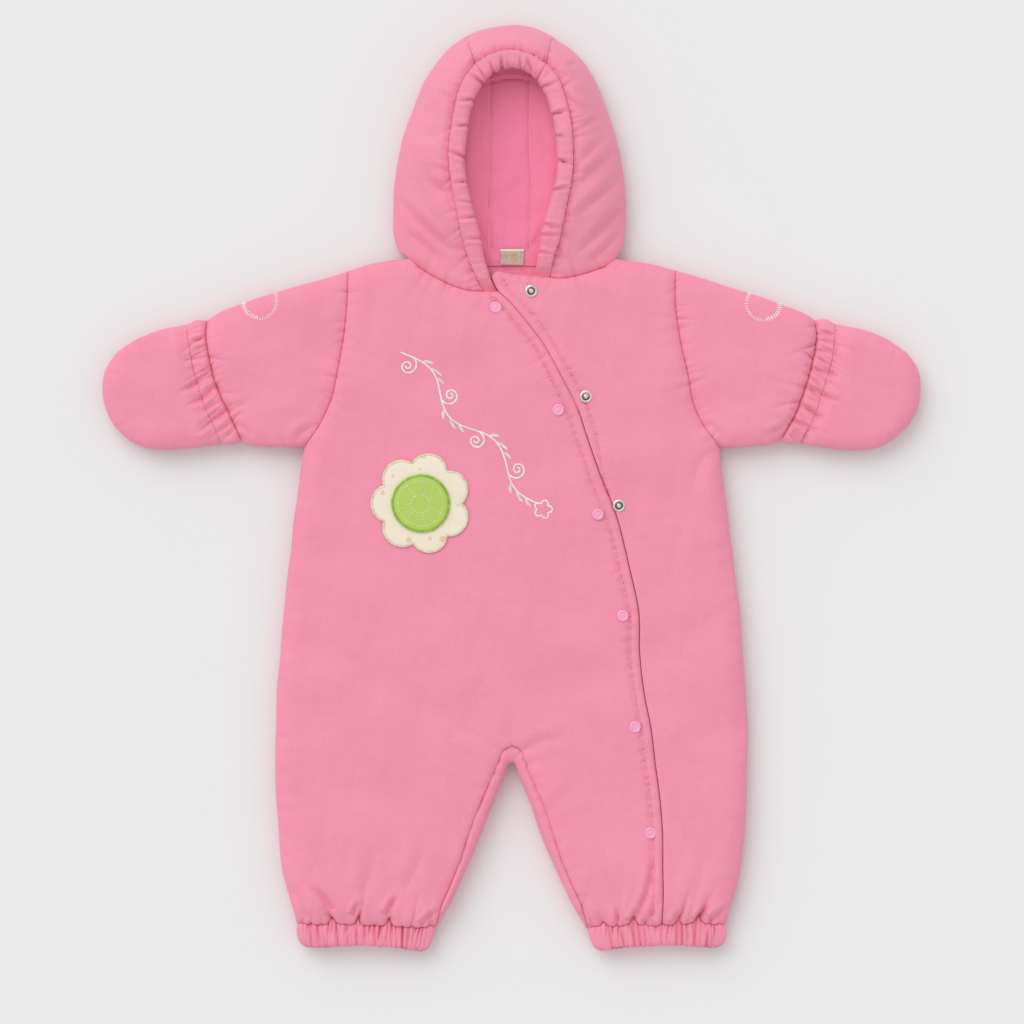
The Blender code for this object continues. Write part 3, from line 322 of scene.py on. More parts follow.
def padded_top(points, loft, sunk=(), crown=CROWN, marks=()):
    """Top of a padded layer on the back. sunk holds (line, depth, reach) for its seams.

    A fourth value makes a seam soft: a shallow valley in place of a sharp one."""
    inside = inside_of(points, OUTLINE)
    z = PLY + EDGE + (loft - EDGE) * rounded(inside / SIDE_ROLL)
    z = z + crown * (1 - np.exp(-inside / CROWN_REACH))
    for line, depth, reach, *soft in sunk:
        z = z - depth * valley(measured(points, line, reach)[0] / reach, soft)
    for mark in marks:
        z = z + mark(points) * (0.25 + 0.75 * eased(inside / 7))
    return np.maximum(z, PLY + GAP + THINNEST)


def under_roll(points, lines):
    """Underside of a layer that lies on the ground and rolls up to its outline."""
    return (PLY - EDGE) * (1 - rounded(inside_of(points, lines) / UNDER_ROLL))


def under_side(points, marks=()):
    """The same for the body and arms, with the creases that stay clear of the ground."""
    z = under_roll(points, OUTLINE)
    for mark in marks:
        z = z + UNDER_SHARE * np.maximum(-mark(points), 0)
    return z


def on_back(points):
    """Underside of an upper ply, flat on the lower one."""
    return 0 * points[..., 0] + PLY + GAP / 2


def under_front(points):
    return on_back(points) - GAP


# %% [markdown]
# ## Creases
# Three kinds of mark are pressed into the padding. `Groove` is the even line where a row of stitching
# holds the plies together. `Gathers` are the short creases beside a seam: they come at uneven steps,
# no two are as long or as deep, and each leans a little. They are worked out from a seed, so both
# panels of a seam get the same ones. `Folds` are the main creases, and those are listed one by one.


# %% Marks that are pressed into the padding
class Groove:
    """A shallow channel along a row of stitching. A negative depth raises a roll."""

    def __init__(self, line, depth, width):
        self.line, self.depth, self.width = line, depth, width

    def __call__(self, points):
        away = measured(points, self.line, 3 * self.width)[0]
        return -self.depth * np.exp(-(away / self.width) ** 2)


class Gathers:
    """Uneven short creases that run away from a sewn line, to both sides of it."""

    def __init__(self, line, spacing, depth, reach, seed, lean=0.3, wide=0.2, slant=0.0, placed=()):
        draw = np.random.default_rng(seed)
        length = walked(line)[-1]
        places = np.cumsum(spacing * draw.uniform(0.45, 1.55, int(2 * length / spacing) + 4))
        self.line, self.at = line, places[places < length - 0.3 * spacing]
        shares = draw.uniform(0.25, 1.0, len(self.at))
        if placed:
            self.at, shares = np.array(sorted(placed)).T
        count = len(self.at)
        self.depth = depth * shares
        self.reach = reach * draw.uniform(0.45, 1.25, count)
        self.lean = slant + draw.normal(0, lean, count)
        self.width = spacing * wide * draw.uniform(0.7, 1.5, count)
        self.far = 2.2 * reach

    def pressed(self, points):
        """How deep each point is pressed by the crease that presses it most."""
        away, along, side = measured(points, self.line, self.far)
        first = np.searchsorted(self.at, along)
        depth = np.zeros(along.shape)
        for step in (-2, -1, 0, 1):
            i = np.clip(first + step, 0, len(self.at) - 1)
            shift = np.abs(along - self.at[i] - self.lean[i] * away * side)
            width = self.width[i] * (1 + 0.7 * np.minimum(away, 40) / self.reach[i])
            press = np.exp(-(shift / width) ** 1.25 - (away / self.reach[i]) ** 1.7)
            depth = np.maximum(self.depth[i] * press, depth)
        return depth

    def __call__(self, points):
        return -self.pressed(points)


class Folds:
    """Creases given one by one: each has its plan points, a depth and a width."""

    def __init__(self, table, ends=(0.03, 0.97)):
        self.rows = [(smooth(line, 5), depth, width) for line, depth, width in table]
        self.ends = ends  # which part of a whole crease's rise and fall each line shows

    def __call__(self, points):
        total = np.zeros(points.shape[:-1])
        for line, depth, width in self.rows:
            away, along, side = measured(points, line, 4 * width)
            share = along / walked(line)[-1]
            fade = np.sin(math.pi * np.interp(share, [0, 1], self.ends)) ** 0.75
            past = np.where((share < 0.01) | (share > 0.99), np.exp(-(away / width) ** 2 * 2), 1)
            trough = -np.exp(-(away / width) ** 1.3)
            shoulder = (0.36 + 0.2 * side) * np.exp(-((away - 2.2 * width) / (1.2 * width)) ** 2)
            total += depth * fade * past * (trough + shoulder)
        return total


class Waves:
    """Slow swells in the wadding: many long waves that run in all directions."""

    def __init__(self, shortest, longest, amount, seed, count=22):
        draw = np.random.default_rng(seed)
        length = draw.uniform(shortest, longest, count)
        turn = draw.uniform(0, math.tau, count)
        self.steps = np.stack([np.cos(turn), np.sin(turn)], axis=1) * (math.tau / length)[:, None]
        self.phase = draw.uniform(0, math.tau, count)
        self.amount = amount * math.sqrt(2 / count)

    def __call__(self, points):
        total = np.zeros(points.shape[:-1])
        for step, phase in zip(self.steps, self.phase):
            total += np.sin(points @ step + phase)
        return total * self.amount


swells = Waves(38, 105, 0.55, 3)
dimples = Waves(9, 21, 0.1, 4)
slip = [Waves(34, 90, 0.3, seed) for seed in (21, 22)]
print("marks ready:", [kind.__name__ for kind in (Groove, Gathers, Folds, Waves)])

# %% [markdown]
# ## Gathered ends
# Elastic draws the cloth in at the ankles and the wrists. The creases start at the sewn line, cross the
# cuff or band completely, and die out in the leg or sleeve. Between them the padding puffs and hangs
# a little over the seam, so the seam itself turns into a row of small scallops.

# %% Gathers of the ankles and wrists
# Where the ankle is drawn in, as (how far out from the centre line, how strongly).
DRAWN_IN = {-1: [(167, 0.25), (160, 0.35), (152, 0.22), (143, 0.9), (133, 0.15), (122.5, 1.0), (109, 0.22),
                 (98.5, 0.95), (88, 0.2), (80.5, 0.35), (72, 0.2), (65.5, 0.45)],
            1: [(166, 0.25), (158.5, 0.35), (149, 1.0), (141, 0.15), (133.5, 0.85), (120.5, 0.3),
                (106.8, 0.45), (97.5, 1.0), (90, 0.2), (84.5, 0.4), (74, 0.7), (66, 0.25)]}
# The cuffs' deep creases, as (out at the ankle, out at the hem, depth).
CUFF_CREASES = {
    -1: [(160.9, 159.5, 2.6), (155.7, 152.4, 2.4), (141.6, 137.6, 3.6), (139.2, 135.9, 2.6),
         (133, 129.3, 2.0), (124.5, 122.6, 2.6), (117, 116.5, 2.2), (109.4, 108.5, 3.8),
         (103.8, 107.5, 3.6), (96.2, 95.3, 2.4), (87.7, 87.2, 3.8), (81.1, 83.9, 2.2), (66, 69.5, 1.6)],
    1: [(73.8, 82.6, 2.4), (84.5, 91.3, 2.3), (96.6, 99, 3.8), (101, 103.8, 2.4), (106.8, 108, 2.0),
        (120.5, 120.7, 2.2), (133, 132, 2.4), (135.9, 136.8, 3.6), (148.5, 145.5, 3.7), (157, 156, 2.0),
        (161.5, 154.3, 2.6)]}
ankle_gathers, cuff_gathers, wrist_gathers, cuff_creases, hangs = {}, {}, {}, {}, []
for side, seed in ((-1, 11), (1, 12)):
    ankle = curve(ANKLE, side)
    band_middle = (smooth(WRIST_SEAM) + smooth(MITTEN_SEAM)) / 2 * (side, 1)
    drawn = [(ANKLE[0][0] - out, share) for out, share in DRAWN_IN[side]]
    ankle_gathers[side] = Gathers(ankle, 9.0, 6.0, 17, seed, wide=0.19, placed=drawn)
    notches = Gathers(ankle, 9.0, 1.0, 17, seed, wide=0.34, placed=[(at, share ** 2) for at, share in drawn])
    cuff_gathers[side] = [Gathers(ankle, 3.2, 3.0, 15, seed, lean=0.12, wide=0.17),
                          Gathers(curve(CUFF_HEM, side), 2.6, 1.6, 8, seed + 20, lean=0.15)]
    cuff_creases[side] = Folds([
        ([(side * out, -339), (side * (out * 0.4 + low * 0.6), -357), (side * low, -374)], deep * 0.75, 1.0)
        for out, low, deep in CUFF_CREASES[side]])
    wrist_gathers[side] = Gathers(
        band_middle, 5.2, 2.9, 14, seed + 10, lean=0.14, wide=0.23, slant=side * 0.35)
    hangs += [(ankle_gathers[side], 2.2, (0, -1.0)), (notches, 3.6, (0, -1.0)),
              (wrist_gathers[side], 2.4, (side * 0.95, -0.3))]
    print("side", side, "has", len(ankle_gathers[side].at), "ankle gathers and",
          len(wrist_gathers[side].at), "wrist gathers")


def settled(points):
    """Where plan points come to lie: no cut line stays quite true, and puffs hang over the gathers."""
    moved = points + np.stack([wave(points) for wave in slip], axis=-1)
    for gathers, push, way in hangs:
        strength = gathers.pressed(points) / gathers.depth.max()
        away = measured(points, gathers.line, 14)[0]
        moved = moved + (push * (0.25 - 1.2 * strength) * np.exp(-(away / 6) ** 2))[..., None] * way
    return moved

# %% [markdown]
# ## Shells
# Every panel becomes one closed shell with a real thickness, so it can be looked at from any side.
# A `wall` is a flat panel with a top and an underside. A `flat_tube` is a sleeve, band or cuff pressed
# flat, with a slit inside. Both collect faces in a bmesh, weld them, and turn them to face outwards.


# %% Closed shells
def to_object(bm, name, finish, plan_settles=True):
    """The finished shell as a named object, eased in plan and made metres."""
    bmesh.ops.recalc_face_normals(bm, faces=bm.faces)
    mesh = bpy.data.meshes.new(name)
    bm.to_mesh(mesh)
    bm.free()
    spots = np.empty(len(mesh.vertices) * 3)
    mesh.vertices.foreach_get("co", spots)
    spots = spots.reshape(-1, 3)
    if plan_settles:
        spots[:, :2] = settled(spots[:, :2])
    mesh.vertices.foreach_set("co", (spots / 1000).ravel())
    mesh.materials.append(finish)
    mesh.shade_smooth()
    mesh.set_sharp_from_angle(angle=math.radians(SHARP_EDGE))
    return linked(name, mesh)


def linked(name, data):
    made = bpy.data.objects.new(name, data)
    bpy.context.scene.collection.objects.link(made)
    return made


def quads(rows):
    """The corners of every cell between rows."""
    for row, above in zip(rows[:-1], rows[1:]):
        for i in range(len(row) - 1):
            yield row[i], row[i + 1], above[i + 1], above[i]


class Solid:
    """A closed shell that is collected face by face and then welded."""

    def __init__(self):
        self.bm = bmesh.new()

    def face(self, corners):
        self.bm.faces.new([self.bm.verts.new(corner) for corner in corners])

    def sheet(self, plan, z):
        """Faces over a grid of plan points with a height at each."""
        for corners in quads(np.dstack([plan, z]).tolist()):
            self.face(corners)

    def curtain(self, points, levels):
        """Upright faces under a cut line, where each point has its own list of heights."""
        for i in range(len(points) - 1):
            near = [(*points[i], z) for z in levels[i]]
            far = [(*points[i + 1], z) for z in levels[i + 1]]
            self.face(near + far[::-1])

    def between(self, points, low, high):
        """The same between two lines of heights."""
        self.curtain(points, np.stack([low, high], axis=1))

    def finish(self, name, finish, plan_settles=True):
        bmesh.ops.remove_doubles(self.bm, verts=self.bm.verts, dist=WELD)
        return to_object(self.bm, name, finish, plan_settles)


def draw_in(bm, by):
    """Moves the border of a flat sheet inwards, for the gap at the seams."""
    moves = {}
    for vert in [vert for vert in bm.verts if vert.is_boundary]:
        normals = []
        for edge in [edge for edge in vert.link_edges if edge.is_boundary]:
            along = (edge.verts[1].co - edge.verts[0].co).normalized()
            across = Vector((-along.y, along.x, 0))
            middle = (edge.verts[0].co + edge.verts[1].co) / 2
            inner = edge.link_faces[0].calc_center_median() - middle
            normals.append(across if across.dot(inner) > 0 else -across)
        mean = (normals[0] + normals[1]).normalized()
        moves[vert] = mean * by / max(mean.dot(normals[0]), DRAW_LIMIT)
    for vert, move in moves.items():
        vert.co += move


def gap_rows(*grids):
    """Draws the first and last rows of grids in by half a gap."""
    for grid in grids:
        for end, inner in ((0, 1), (-1, -2)):
            step = grid[inner] - grid[end]
            grid[end] += step / np.maximum(np.linalg.norm(step, axis=-1), 1e-6)[..., None] * SEAM / 2


def wall(name, grids, top, under, finish):
    """A panel: flat grids sewn into one sheet, drawn in at the border, then given a top and an underside."""
    bm = bmesh.new()
    for grid in grids:
        for corners in quads([[bm.verts.new((x, y, 0)) for x, y in row] for row in grid.tolist()]):
            bm.faces.new(corners)
    bmesh.ops.remove_doubles(bm, verts=bm.verts, dist=SEWN)
    bmesh.ops.dissolve_degenerate(bm, dist=0.001, edges=bm.edges)
    bmesh.ops.recalc_face_normals(bm, faces=bm.faces)
    draw_in(bm, SEAM / 2)
    lower = list(bm.verts)
    made = bmesh.ops.extrude_face_region(bm, geom=list(bm.faces))
    upper = [item for item in made["geom"] if isinstance(item, bmesh.types.BMVert)]
    for verts, height in ((lower, under), (upper, top)):
        plan = np.array([(v.co.x, v.co.y) for v in verts])
        for vert, z in zip(verts, height(plan)):
            vert.co.z = z
    return to_object(bm, name, finish)


def flat_tube(name, plan, loft, sunk, marks, crown=0, mouth=GAP, slit=0.09):
    """A sleeve, band or cuff pressed flat: one wall all round, open at both ends of the grid's rows."""
    gap_rows(plan)
    z_top, z_under = padded_top(plan, loft, sunk, crown, marks), under_side(plan, marks)
    left, right = np.searchsorted(shares_of(plan[0]), (slit, 1 - slit))
    above, below = np.full(plan.shape[:2], PLY + mouth / 2), np.full(plan.shape[:2], PLY - mouth / 2)
    inside = slice(left, right + 1)
    solid = Solid()
    for z in (z_top, z_under):
        solid.sheet(plan, z)
    for z in (above, below):
        solid.sheet(plan[:, inside], z[:, inside])
    for column in (left, right):
        solid.between(plan[:, column], below[:, column], above[:, column])
    for column in (0, -1):
        solid.between(plan[:, column], z_under[:, column], z_top[:, column])
    for row in (0, -1):
        levels = [list(heights) for heights in zip(z_under[row], z_top[row])]
        for i in (left, right):
            levels[i] = [z_under[row, i], below[row, i], above[row, i], z_top[row, i]]
        solid.curtain(plan[row, :left + 1], levels[:left + 1])
        solid.curtain(plan[row, right:], levels[right:])
        solid.between(plan[row, inside], above[row, inside], z_top[row, inside])
        solid.between(plan[row, inside], z_under[row, inside], below[row, inside])
    return solid.finish(name, shell_cloth)


def ring_solid(name, rings, finish):
    """A solid through closed rings of points, with its first and last ring as its ends."""
    solid = Solid()
    for corners in quads(np.concatenate([rings, rings[:, :1]], axis=1).tolist()):
        solid.face(corners)
    for end in (0, -1):
        solid.face(rings[end].tolist())
    return solid.finish(name, finish)


def report(*pieces):
    """Prints what pieces came to, and whether their shells are closed."""
    for piece in pieces:
        bm = bmesh.new()
        bm.from_mesh(piece.data)
        open_edges = sum(not edge.is_manifold for edge in bm.edges)
        print(f"{piece.name}: {len(bm.faces)} faces, {open_edges} open edges")
        bm.free()


# %% [markdown]
# ## Finishes
# Shader maths reads best as sums. `Value` wraps a socket so that `1 - mask` or `a * b` adds the Math
# nodes by itself, and `Finish.node` makes any other node. What varies over the cloth feeds only the
# colour, the roughness and the normal, and constants such as sheen are set on the shader itself.


# %% Shader maths as Python
class Value:
    """A socket of a finish that can be used in sums."""

    def __init__(self, finish, socket):
        self.finish, self.socket = finish, socket

    def maths(self, operation, *values):
        return self.finish.node("ShaderNodeMath", {"operation": operation}, values)

    def __add__(self, other):
        return self.maths("ADD", self, other)

    def __sub__(self, other):
        return self.maths("SUBTRACT", self, other)

    def __rsub__(self, other):
        return self.maths("SUBTRACT", other, self)

    def __mul__(self, other):
        return self.maths("MULTIPLY", self, other)

    def __lt__(self, other):
        return self.maths("LESS_THAN", self, other)

    __radd__, __rmul__ = __add__, __mul__


class Finish:
    """A material under construction, with a Principled shader at its end."""

    def __init__(self, name, **constants):
        self.material = bpy.data.materials.new(name)
        self.material.use_nodes = True
        self.tree = self.material.node_tree
        self.shader = self.tree.nodes["Principled BSDF"]
        self.place = self.node("ShaderNodeTexCoord", output="Object")
        self.wear(**constants)

    def node(self, kind, settings=None, values=(), output=0):
        """Makes a node: its settings first, then the values or links of its sockets."""
        made = self.tree.nodes.new(kind)
        for name, value in (settings or {}).items():
            setattr(made, name, value)
        for key, value in values.items() if isinstance(values, dict) else enumerate(values):
            self.join(value, made.inputs[key])
        return Value(self, made.outputs[output])

    def join(self, value, socket):
        if isinstance(value, Value):
            self.tree.links.new(value.socket, socket)
        else:
            socket.default_value = value

    def wear(self, **channels):
        for socket, value in channels.items():
            self.join(value, self.shader.inputs[socket.replace("_", " ")])
        return self.material

    def noise(self, size, detail=2.0):
        """Soft noise with features of about the given size, in millimetres."""
        values = {"Vector": self.place, "Scale": 1000 / size, "Detail": detail}
        return self.node("ShaderNodeTexNoise", {}, values)

    def mix(self, factor, first, second):
        colours = [(*c, 1) if isinstance(c, tuple) else c for c in (first, second)]
        return self.node("ShaderNodeMix", {"data_type": "RGBA"}, {0: factor, 6: colours[0], 7: colours[1]}, 2)

    def weave(self, across, up):
        """Even ridges both ways, with their pitches in millimetres."""
        turns_per_unit = 20 / math.tau  # of a wave texture, at a scale of 1
        ridges = [self.node("ShaderNodeTexWave", {"bands_direction": way},
                            {"Vector": self.place, "Scale": 1000 / pitch / turns_per_unit}, "Fac")
                  for way, pitch in (("X", across), ("Y", up))]
        return ridges[0] * 0.5 + ridges[1] * 0.5

    def bump(self, height, depth, strength=1.0, under=None):
        values = {"Height": height, "Distance": depth / 1000, "Strength": strength}
        if under:
            values["Normal"] = under
        return self.node("ShaderNodeBump", {}, values, "Normal")


# %% [markdown]
# The shell is a microfibre with a brushed, peach-skin face. It is nearly matt, it lightens a little at
# glancing angles, and close up it has a fine weave and a mottle where the fibres lie differently.


# %% The cloths and threads
def peach_skin(name, colour, deep, mottle=1.0, nap=0.30):
    """Brushed cloth: a mottled colour over a fine weave. deep is its colour where the nap lies away."""
    finish = Finish(name, Sheen_Weight=nap, Sheen_Roughness=0.55, Specular_IOR_Level=0.22,
                    Sheen_Tint=(1.0, 0.72, 0.84, 1))
    grain, fibres, cloudy = finish.noise(1.5, 3), finish.noise(0.45), finish.noise(38)
    blend = (grain - 0.5) * mottle + (cloudy - 0.5) * 0.55 + (fibres - 0.5) * 0.35 + 0.42
    threads = finish.bump(finish.weave(0.55, 0.55) * 0.6 + fibres * 0.4, 0.07, 0.5)
    return finish.wear(Base_Color=finish.mix(blend, colour, deep), Roughness=0.78 + (grain - 0.5) * 0.18,
                       Normal=finish.bump(grain, 0.24, 0.7, threads))


shell_cloth = peach_skin("padded_cloth_finish", (0.905, 0.315, 0.435), (0.825, 0.245, 0.368))
lining_cloth = peach_skin("lining_cloth_finish", (0.96, 0.272, 0.44), (0.90, 0.222, 0.385), 0.45, 0.2)


def spun(name, colour, deep):
    """Spun thread: two tones along the twist."""
    finish = Finish(name + "_thread_finish", Sheen_Weight=0.25, Specular_IOR_Level=0.35)
    twist, length = finish.noise(0.5), finish.noise(2.6, 1)
    return finish.wear(Base_Color=finish.mix((length - 0.5) * 3.0 + twist, deep, colour),
                       Roughness=0.5 + twist * 0.2, Normal=finish.bump(twist, 0.08, 0.6))


pink_thread = spun("pink", (0.99, 0.60, 0.69), (0.78, 0.24, 0.36))
lining_thread = spun("lining", (0.98, 0.60, 0.71), (0.86, 0.36, 0.50))
white_thread = spun("white", (0.93, 0.90, 0.88), (0.80, 0.72, 0.72))
lime_thread = spun("lime", (0.42, 0.66, 0.08), (0.27, 0.47, 0.03))
cream_thread = spun("cream", (0.90, 0.82, 0.68), (0.72, 0.62, 0.48))
print("cloths and threads:", [m.name for m in bpy.data.materials if m.name.endswith("_finish")])

# %% [markdown]
# ## The main creases
# Gathers and swells alone look even. What makes a garment look handled are the few long creases that
# its own shape causes: where the elastic pulls hardest, under the arms, at the crotch, and where the
# hood's cloth is drawn into the neck. They are placed one by one, unevenly, and the two halves differ.

# %% Creases given one by one, as (plan points, depth, width)
RIGHT_LEG_FOLDS = Folds([
    ([(-142.9, -335.5), (-151.9, -324.2), (-160.4, -318.5)], 3.8, 2.2),
    ([(-126.4, -340), (-124.5, -334.5), (-121.7, -331)], 3.2, 1.7),
    ([(-100, -340), (-97.1, -333.6), (-91.5, -326)], 3.5, 2.0),
    ([(-72.6, -347.8), (-65, -341.1), (-57.5, -338.3)], 2.6, 1.8),
    ([(-162.2, -342.1), (-168.9, -329.8), (-178.3, -318.5)], 2.3, 3.0),
    ([(-118, -322), (-112, -306), (-109, -286)], 1.8, 5.0),
    ([(-84, -318), (-74, -300), (-69, -281)], 1.3, 5.0),
    ([(-146, -300), (-150, -278), (-149, -257)], 1.0, 6.5),
], ends=(0.3, 0.97))
LEFT_LEG_FOLDS = Folds([
    ([(98.5, -345.4), (101.9, -336.2), (108.7, -320.7), (113.6, -297.4)], 3.8, 2.2),
    ([(106.8, -346.9), (101.9, -337.2)], 2.6, 1.7),
    ([(131, -345.9), (133, -337.7)], 3.6, 2.0),
    ([(149, -345), (156.2, -333.3)], 3.3, 1.9),
    ([(159.1, -345), (166, -340), (173.7, -333.3)], 3.0, 2.0),
    ([(85.9, -345), (84, -334)], 2.2, 1.6),
    ([(145, -328), (152, -308), (154, -288)], 1.2, 5.5),
    ([(86, -325), (78, -306), (73, -290)], 1.1, 5.0),
], ends=(0.3, 0.97))
WRIST_FOLDS = {
    -1: Folds([
        ([(-236, 92), (-239, 89.9), (-251, 84), (-256.9, 80.6), (-264, 79)], 3.0, 2.0),
        ([(-229.7, 75), (-235, 80.6), (-247, 71.4), (-258.9, 66.7)], 2.8, 1.9),
        ([(-231, 70), (-245, 61.4)], 2.2, 1.6),
        ([(-220.4, 68), (-228.4, 61.4), (-240.3, 52.2), (-250.3, 43.5)], 3.0, 2.1),
        ([(-241.7, 104.6), (-255, 102.6), (-262, 101.5)], 2.2, 1.8),
        ([(-243.6, 119.1), (-256.2, 117.1)], 2.0, 1.6),
        ([(-207.2, 42.2), (-213.8, 48.2), (-220.4, 50.2)], 1.8, 2.2)]),
    1: Folds([
        ([(236, 97), (247, 93.5), (260, 90)], 2.8, 2.0),
        ([(231.5, 82), (244, 77), (256, 71.5), (262, 69.5)], 3.0, 2.1),
        ([(226, 68), (238, 62.5), (248, 55)], 2.7, 1.8),
        ([(220, 57), (231, 50.5), (240, 44)], 2.4, 1.8),
        ([(242, 110.5), (257, 108)], 2.0, 1.7),
        ([(243.5, 124), (258, 122.5)], 1.8, 1.5),
        ([(205, 43), (213, 46.5), (219, 51)], 1.6, 2.2)]),
}
SLEEVE_FOLDS = Folds([
    ([(-172, 36), (-168.7, 42.2), (-156.7, 50.2)], 1.7, 3.0),
    ([(-136.9, 144.3), (-135.5, 125.8)], 0.9, 4.0),
    ([(-181, 130), (-200, 118), (-216, 112)], 0.7, 6.5),
    ([(-166, 84), (-188, 78), (-206, 80)], 0.8, 7.0),
    ([(171, 35), (167, 43), (156, 53)], 1.8, 3.0),
    ([(139, 142), (137, 121)], 0.9, 4.0),
    ([(176, 118), (196, 108), (214, 106)], 0.8, 7.0),
    ([(160, 78), (184, 70), (203, 74)], 0.7, 6.0),
])
BODY_FOLDS = Folds([
    ([(-163, 35), (-150, 22), (-140, 2)], 1.3, 5.0),
    ([(163, 35), (151, 20), (144, -4)], 1.4, 5.0),
    ([(-9, -214), (-22, -200), (-44, -190)], 1.6, 4.0),
    ([(8, -213), (22, -203), (43, -198)], 1.5, 4.0),
    ([(0, -204), (1, -190), (-4, -168)], 1.2, 5.0),
    ([(-30, -262), (-42, -240), (-60, -226)], 0.9, 6.0),
    ([(30, -262), (43, -244), (58, -233)], 0.9, 6.0),
    ([(-170, -120), (-140, -134), (-112, -138)], 0.8, 9.0),
    ([(-168, -60), (-142, -48), (-112, -50)], 0.7, 9.0),
    ([(-88, 150), (-80, 128), (-78, 104)], 0.8, 7.0),
    ([(-118, 160), (-110, 146), (-106, 128)], 0.8, 6.0),
    ([(70, 155), (84, 138), (90, 118)], 0.8, 6.5),
    ([(112, 163), (108, 146), (110, 128)], 0.8, 6.0),
    ([(166, -96), (148, -112), (133, -116)], 0.8, 7.0),
    ([(170, -190), (150, -200), (134, -198)], 0.8, 7.0),
    ([(-96, -170), (-60, -182), (-30, -184)], 0.7, 9.0),
])
HOOD_FOLDS = Folds([
    ([(-69.7, 257.5), (-62.3, 241.2), (-48.2, 233.8)], 1.6, 3.0),
    ([(-89.5, 232), (-78, 217), (-60, 199), (-48, 188)], 3.0, 2.8),
    ([(-84, 205), (-72, 195), (-58, 183)], 1.8, 3.0), ([(-66, 247), (-54, 233), (-44, 221)], 1.5, 3.2),
    ([(-60, 318), (-56.4, 313.7), (-47, 308.2)], 1.6, 2.4), ([(-80, 286), (-68, 280), (-55, 281)], 1.0, 4.0),
    ([(50.5, 238), (66, 253), (83, 269)], 2.0, 3.2), ([(51.6, 257), (62, 266), (74.6, 278)], 1.6, 3.0),
    ([(50.5, 213), (70.4, 232), (89, 249)], 2.5, 3.6), ([(53.7, 187), (72.5, 205), (90, 224)], 2.6, 3.4),
    ([(41, 311.7), (49, 306), (56, 299)], 2.0, 2.2), ([(50.6, 283), (60, 288), (70, 296)], 1.6, 2.4),
    ([(62, 180), (74, 190), (86, 203)], 1.5, 3.0), ([(44, 334), (52, 340)], 1.5, 2.2),
    ([(-42, 336), (-50, 343)], 1.5, 2.2),
])
# Pinches of the casing: where each meets the free edge and the seam, its depth and its width.
PINCHES = {
    -1: [(307, 306.3, 3.4, 1.4), (261.9, 266.6, 4.9, 1.5), (243.4, 242, 3.4, 1.3), (215.4, 213.8, 3.2, 1.3),
         (198.3, 197.6, 3.4, 1.3), (287, 286, 2.4, 1.2), (227, 228, 2.3, 1.2)],
    1: [(295.9, 299.4, 4.0, 1.4), (260.5, 257, 4.2, 1.4), (236.8, 238.6, 3.2, 1.3), (210.2, 206, 3.4, 1.3),
        (202, 201, 2.8, 1.2), (188.7, 186, 3.0, 1.2), (279, 277, 2.2, 1.2), (318, 322, 2.8, 1.3)]}


def across_casing(side, free, sewn):
    ends = [at_up(smooth(line), [up])[0] for line, up in ((OPENING, free), (RIM_OUTER, sewn))]
    return in_half(ends, side, RIM_X)


RIM_FOLDS = Folds([
    (across_casing(side, free, sewn), depth, width)
    for side, pinches in PINCHES.items() for free, sewn, depth, width in pinches] + [
    ([(-33, 328.5), (-20.5, 319.5)], 4.2, 1.4), ([(-7.8, 342), (-7.4, 331)], 4.2, 1.2),
    ([(12.6, 341), (16.4, 329)], 4.0, 1.2), ([(6.6, 343), (7.4, 333)], 2.8, 1.1),
    ([(-17, 338), (-14, 328)], 2.6, 1.1),
], ends=(0.22, 0.78))
print("creases placed by hand:", sum(len(folds.rows) for folds in (
    RIGHT_LEG_FOLDS, LEFT_LEG_FOLDS, *WRIST_FOLDS.values(), SLEEVE_FOLDS, BODY_FOLDS, HOOD_FOLDS, RIM_FOLDS)))

# %% [markdown]
# ## The body
# The back is one panel. Over it lie the two fronts, and the right one is cut across the body: it takes
# in the crotch and the left leg's inner part, and ends at the slanting closure. Where the closure is
# shut the right edge lies over the left one, and both edges are held by a row of topstitching, which
# makes a soft roll between the row and the edge.

# %% Rows that the panels share
CROTCH = INSEAM_SEAM[-1]
LAP_STARTS, LAP_COMES_OVER = 74, 36
LAP_WIDENS_FROM, LAP_WIDENS_OVER = 22, 60
RIGHT_ROW_IN, LEFT_ROW_OUT = 8.0, 8.288  # how far from the closure its rows of topstitching run
whole_closure = joined(smooth(CLOSURE), smooth(CLOSURE_TIP))
neck_right, neck_left = smooth(NECK_RIGHT), smooth(NECK_LEFT)


def closure_cuts():
    """The closure, cut at the rows that both fronts share: the leg's rows, then the torso's."""
    line = smooth(CLOSURE)
    above = part_of(line, CROTCH[1], CLOSURE[-1][1])
    return (cut_at(part_of(line, CLOSURE[0][1], CROTCH[1]), UP_LEG),
            cut_at(above, np.linspace(0, 1, len(UP_TORSO) + len(ACROSS_ARM) - 1)))


def side_cuts(side, more=0, every=1):
    """The side seam of the leg, and the side seam and armhole of the torso, cut into rows."""
    line = smooth(SIDE_SEAM)
    leg = cut_at(part_of(line, SIDE_SEAM[0][1], CROTCH[1]), UP_LEG[::every])
    torso = part_of(line, CROTCH[1], SIDE_SEAM[-1][1])
    rows = (len(UP_TORSO) + len(ACROSS_ARM) - 2) // every + more
    return leg * (side, 1), cut_run([torso, smooth(ARMHOLE)], rows) * (side, 1)


def inseam_cuts(side, every=1):
    return cut_at(curve(INSEAM_SEAM, side), UP_LEG[::every])


def edge_line(closure, end, across):
    """A line beside the closure that finishes at a point on the neck."""
    line = closure + (across, 0)
    blend = eased(np.linspace(-5, 1, len(line)))[:, None]
    return line + blend * (np.array(end) - line[-1])


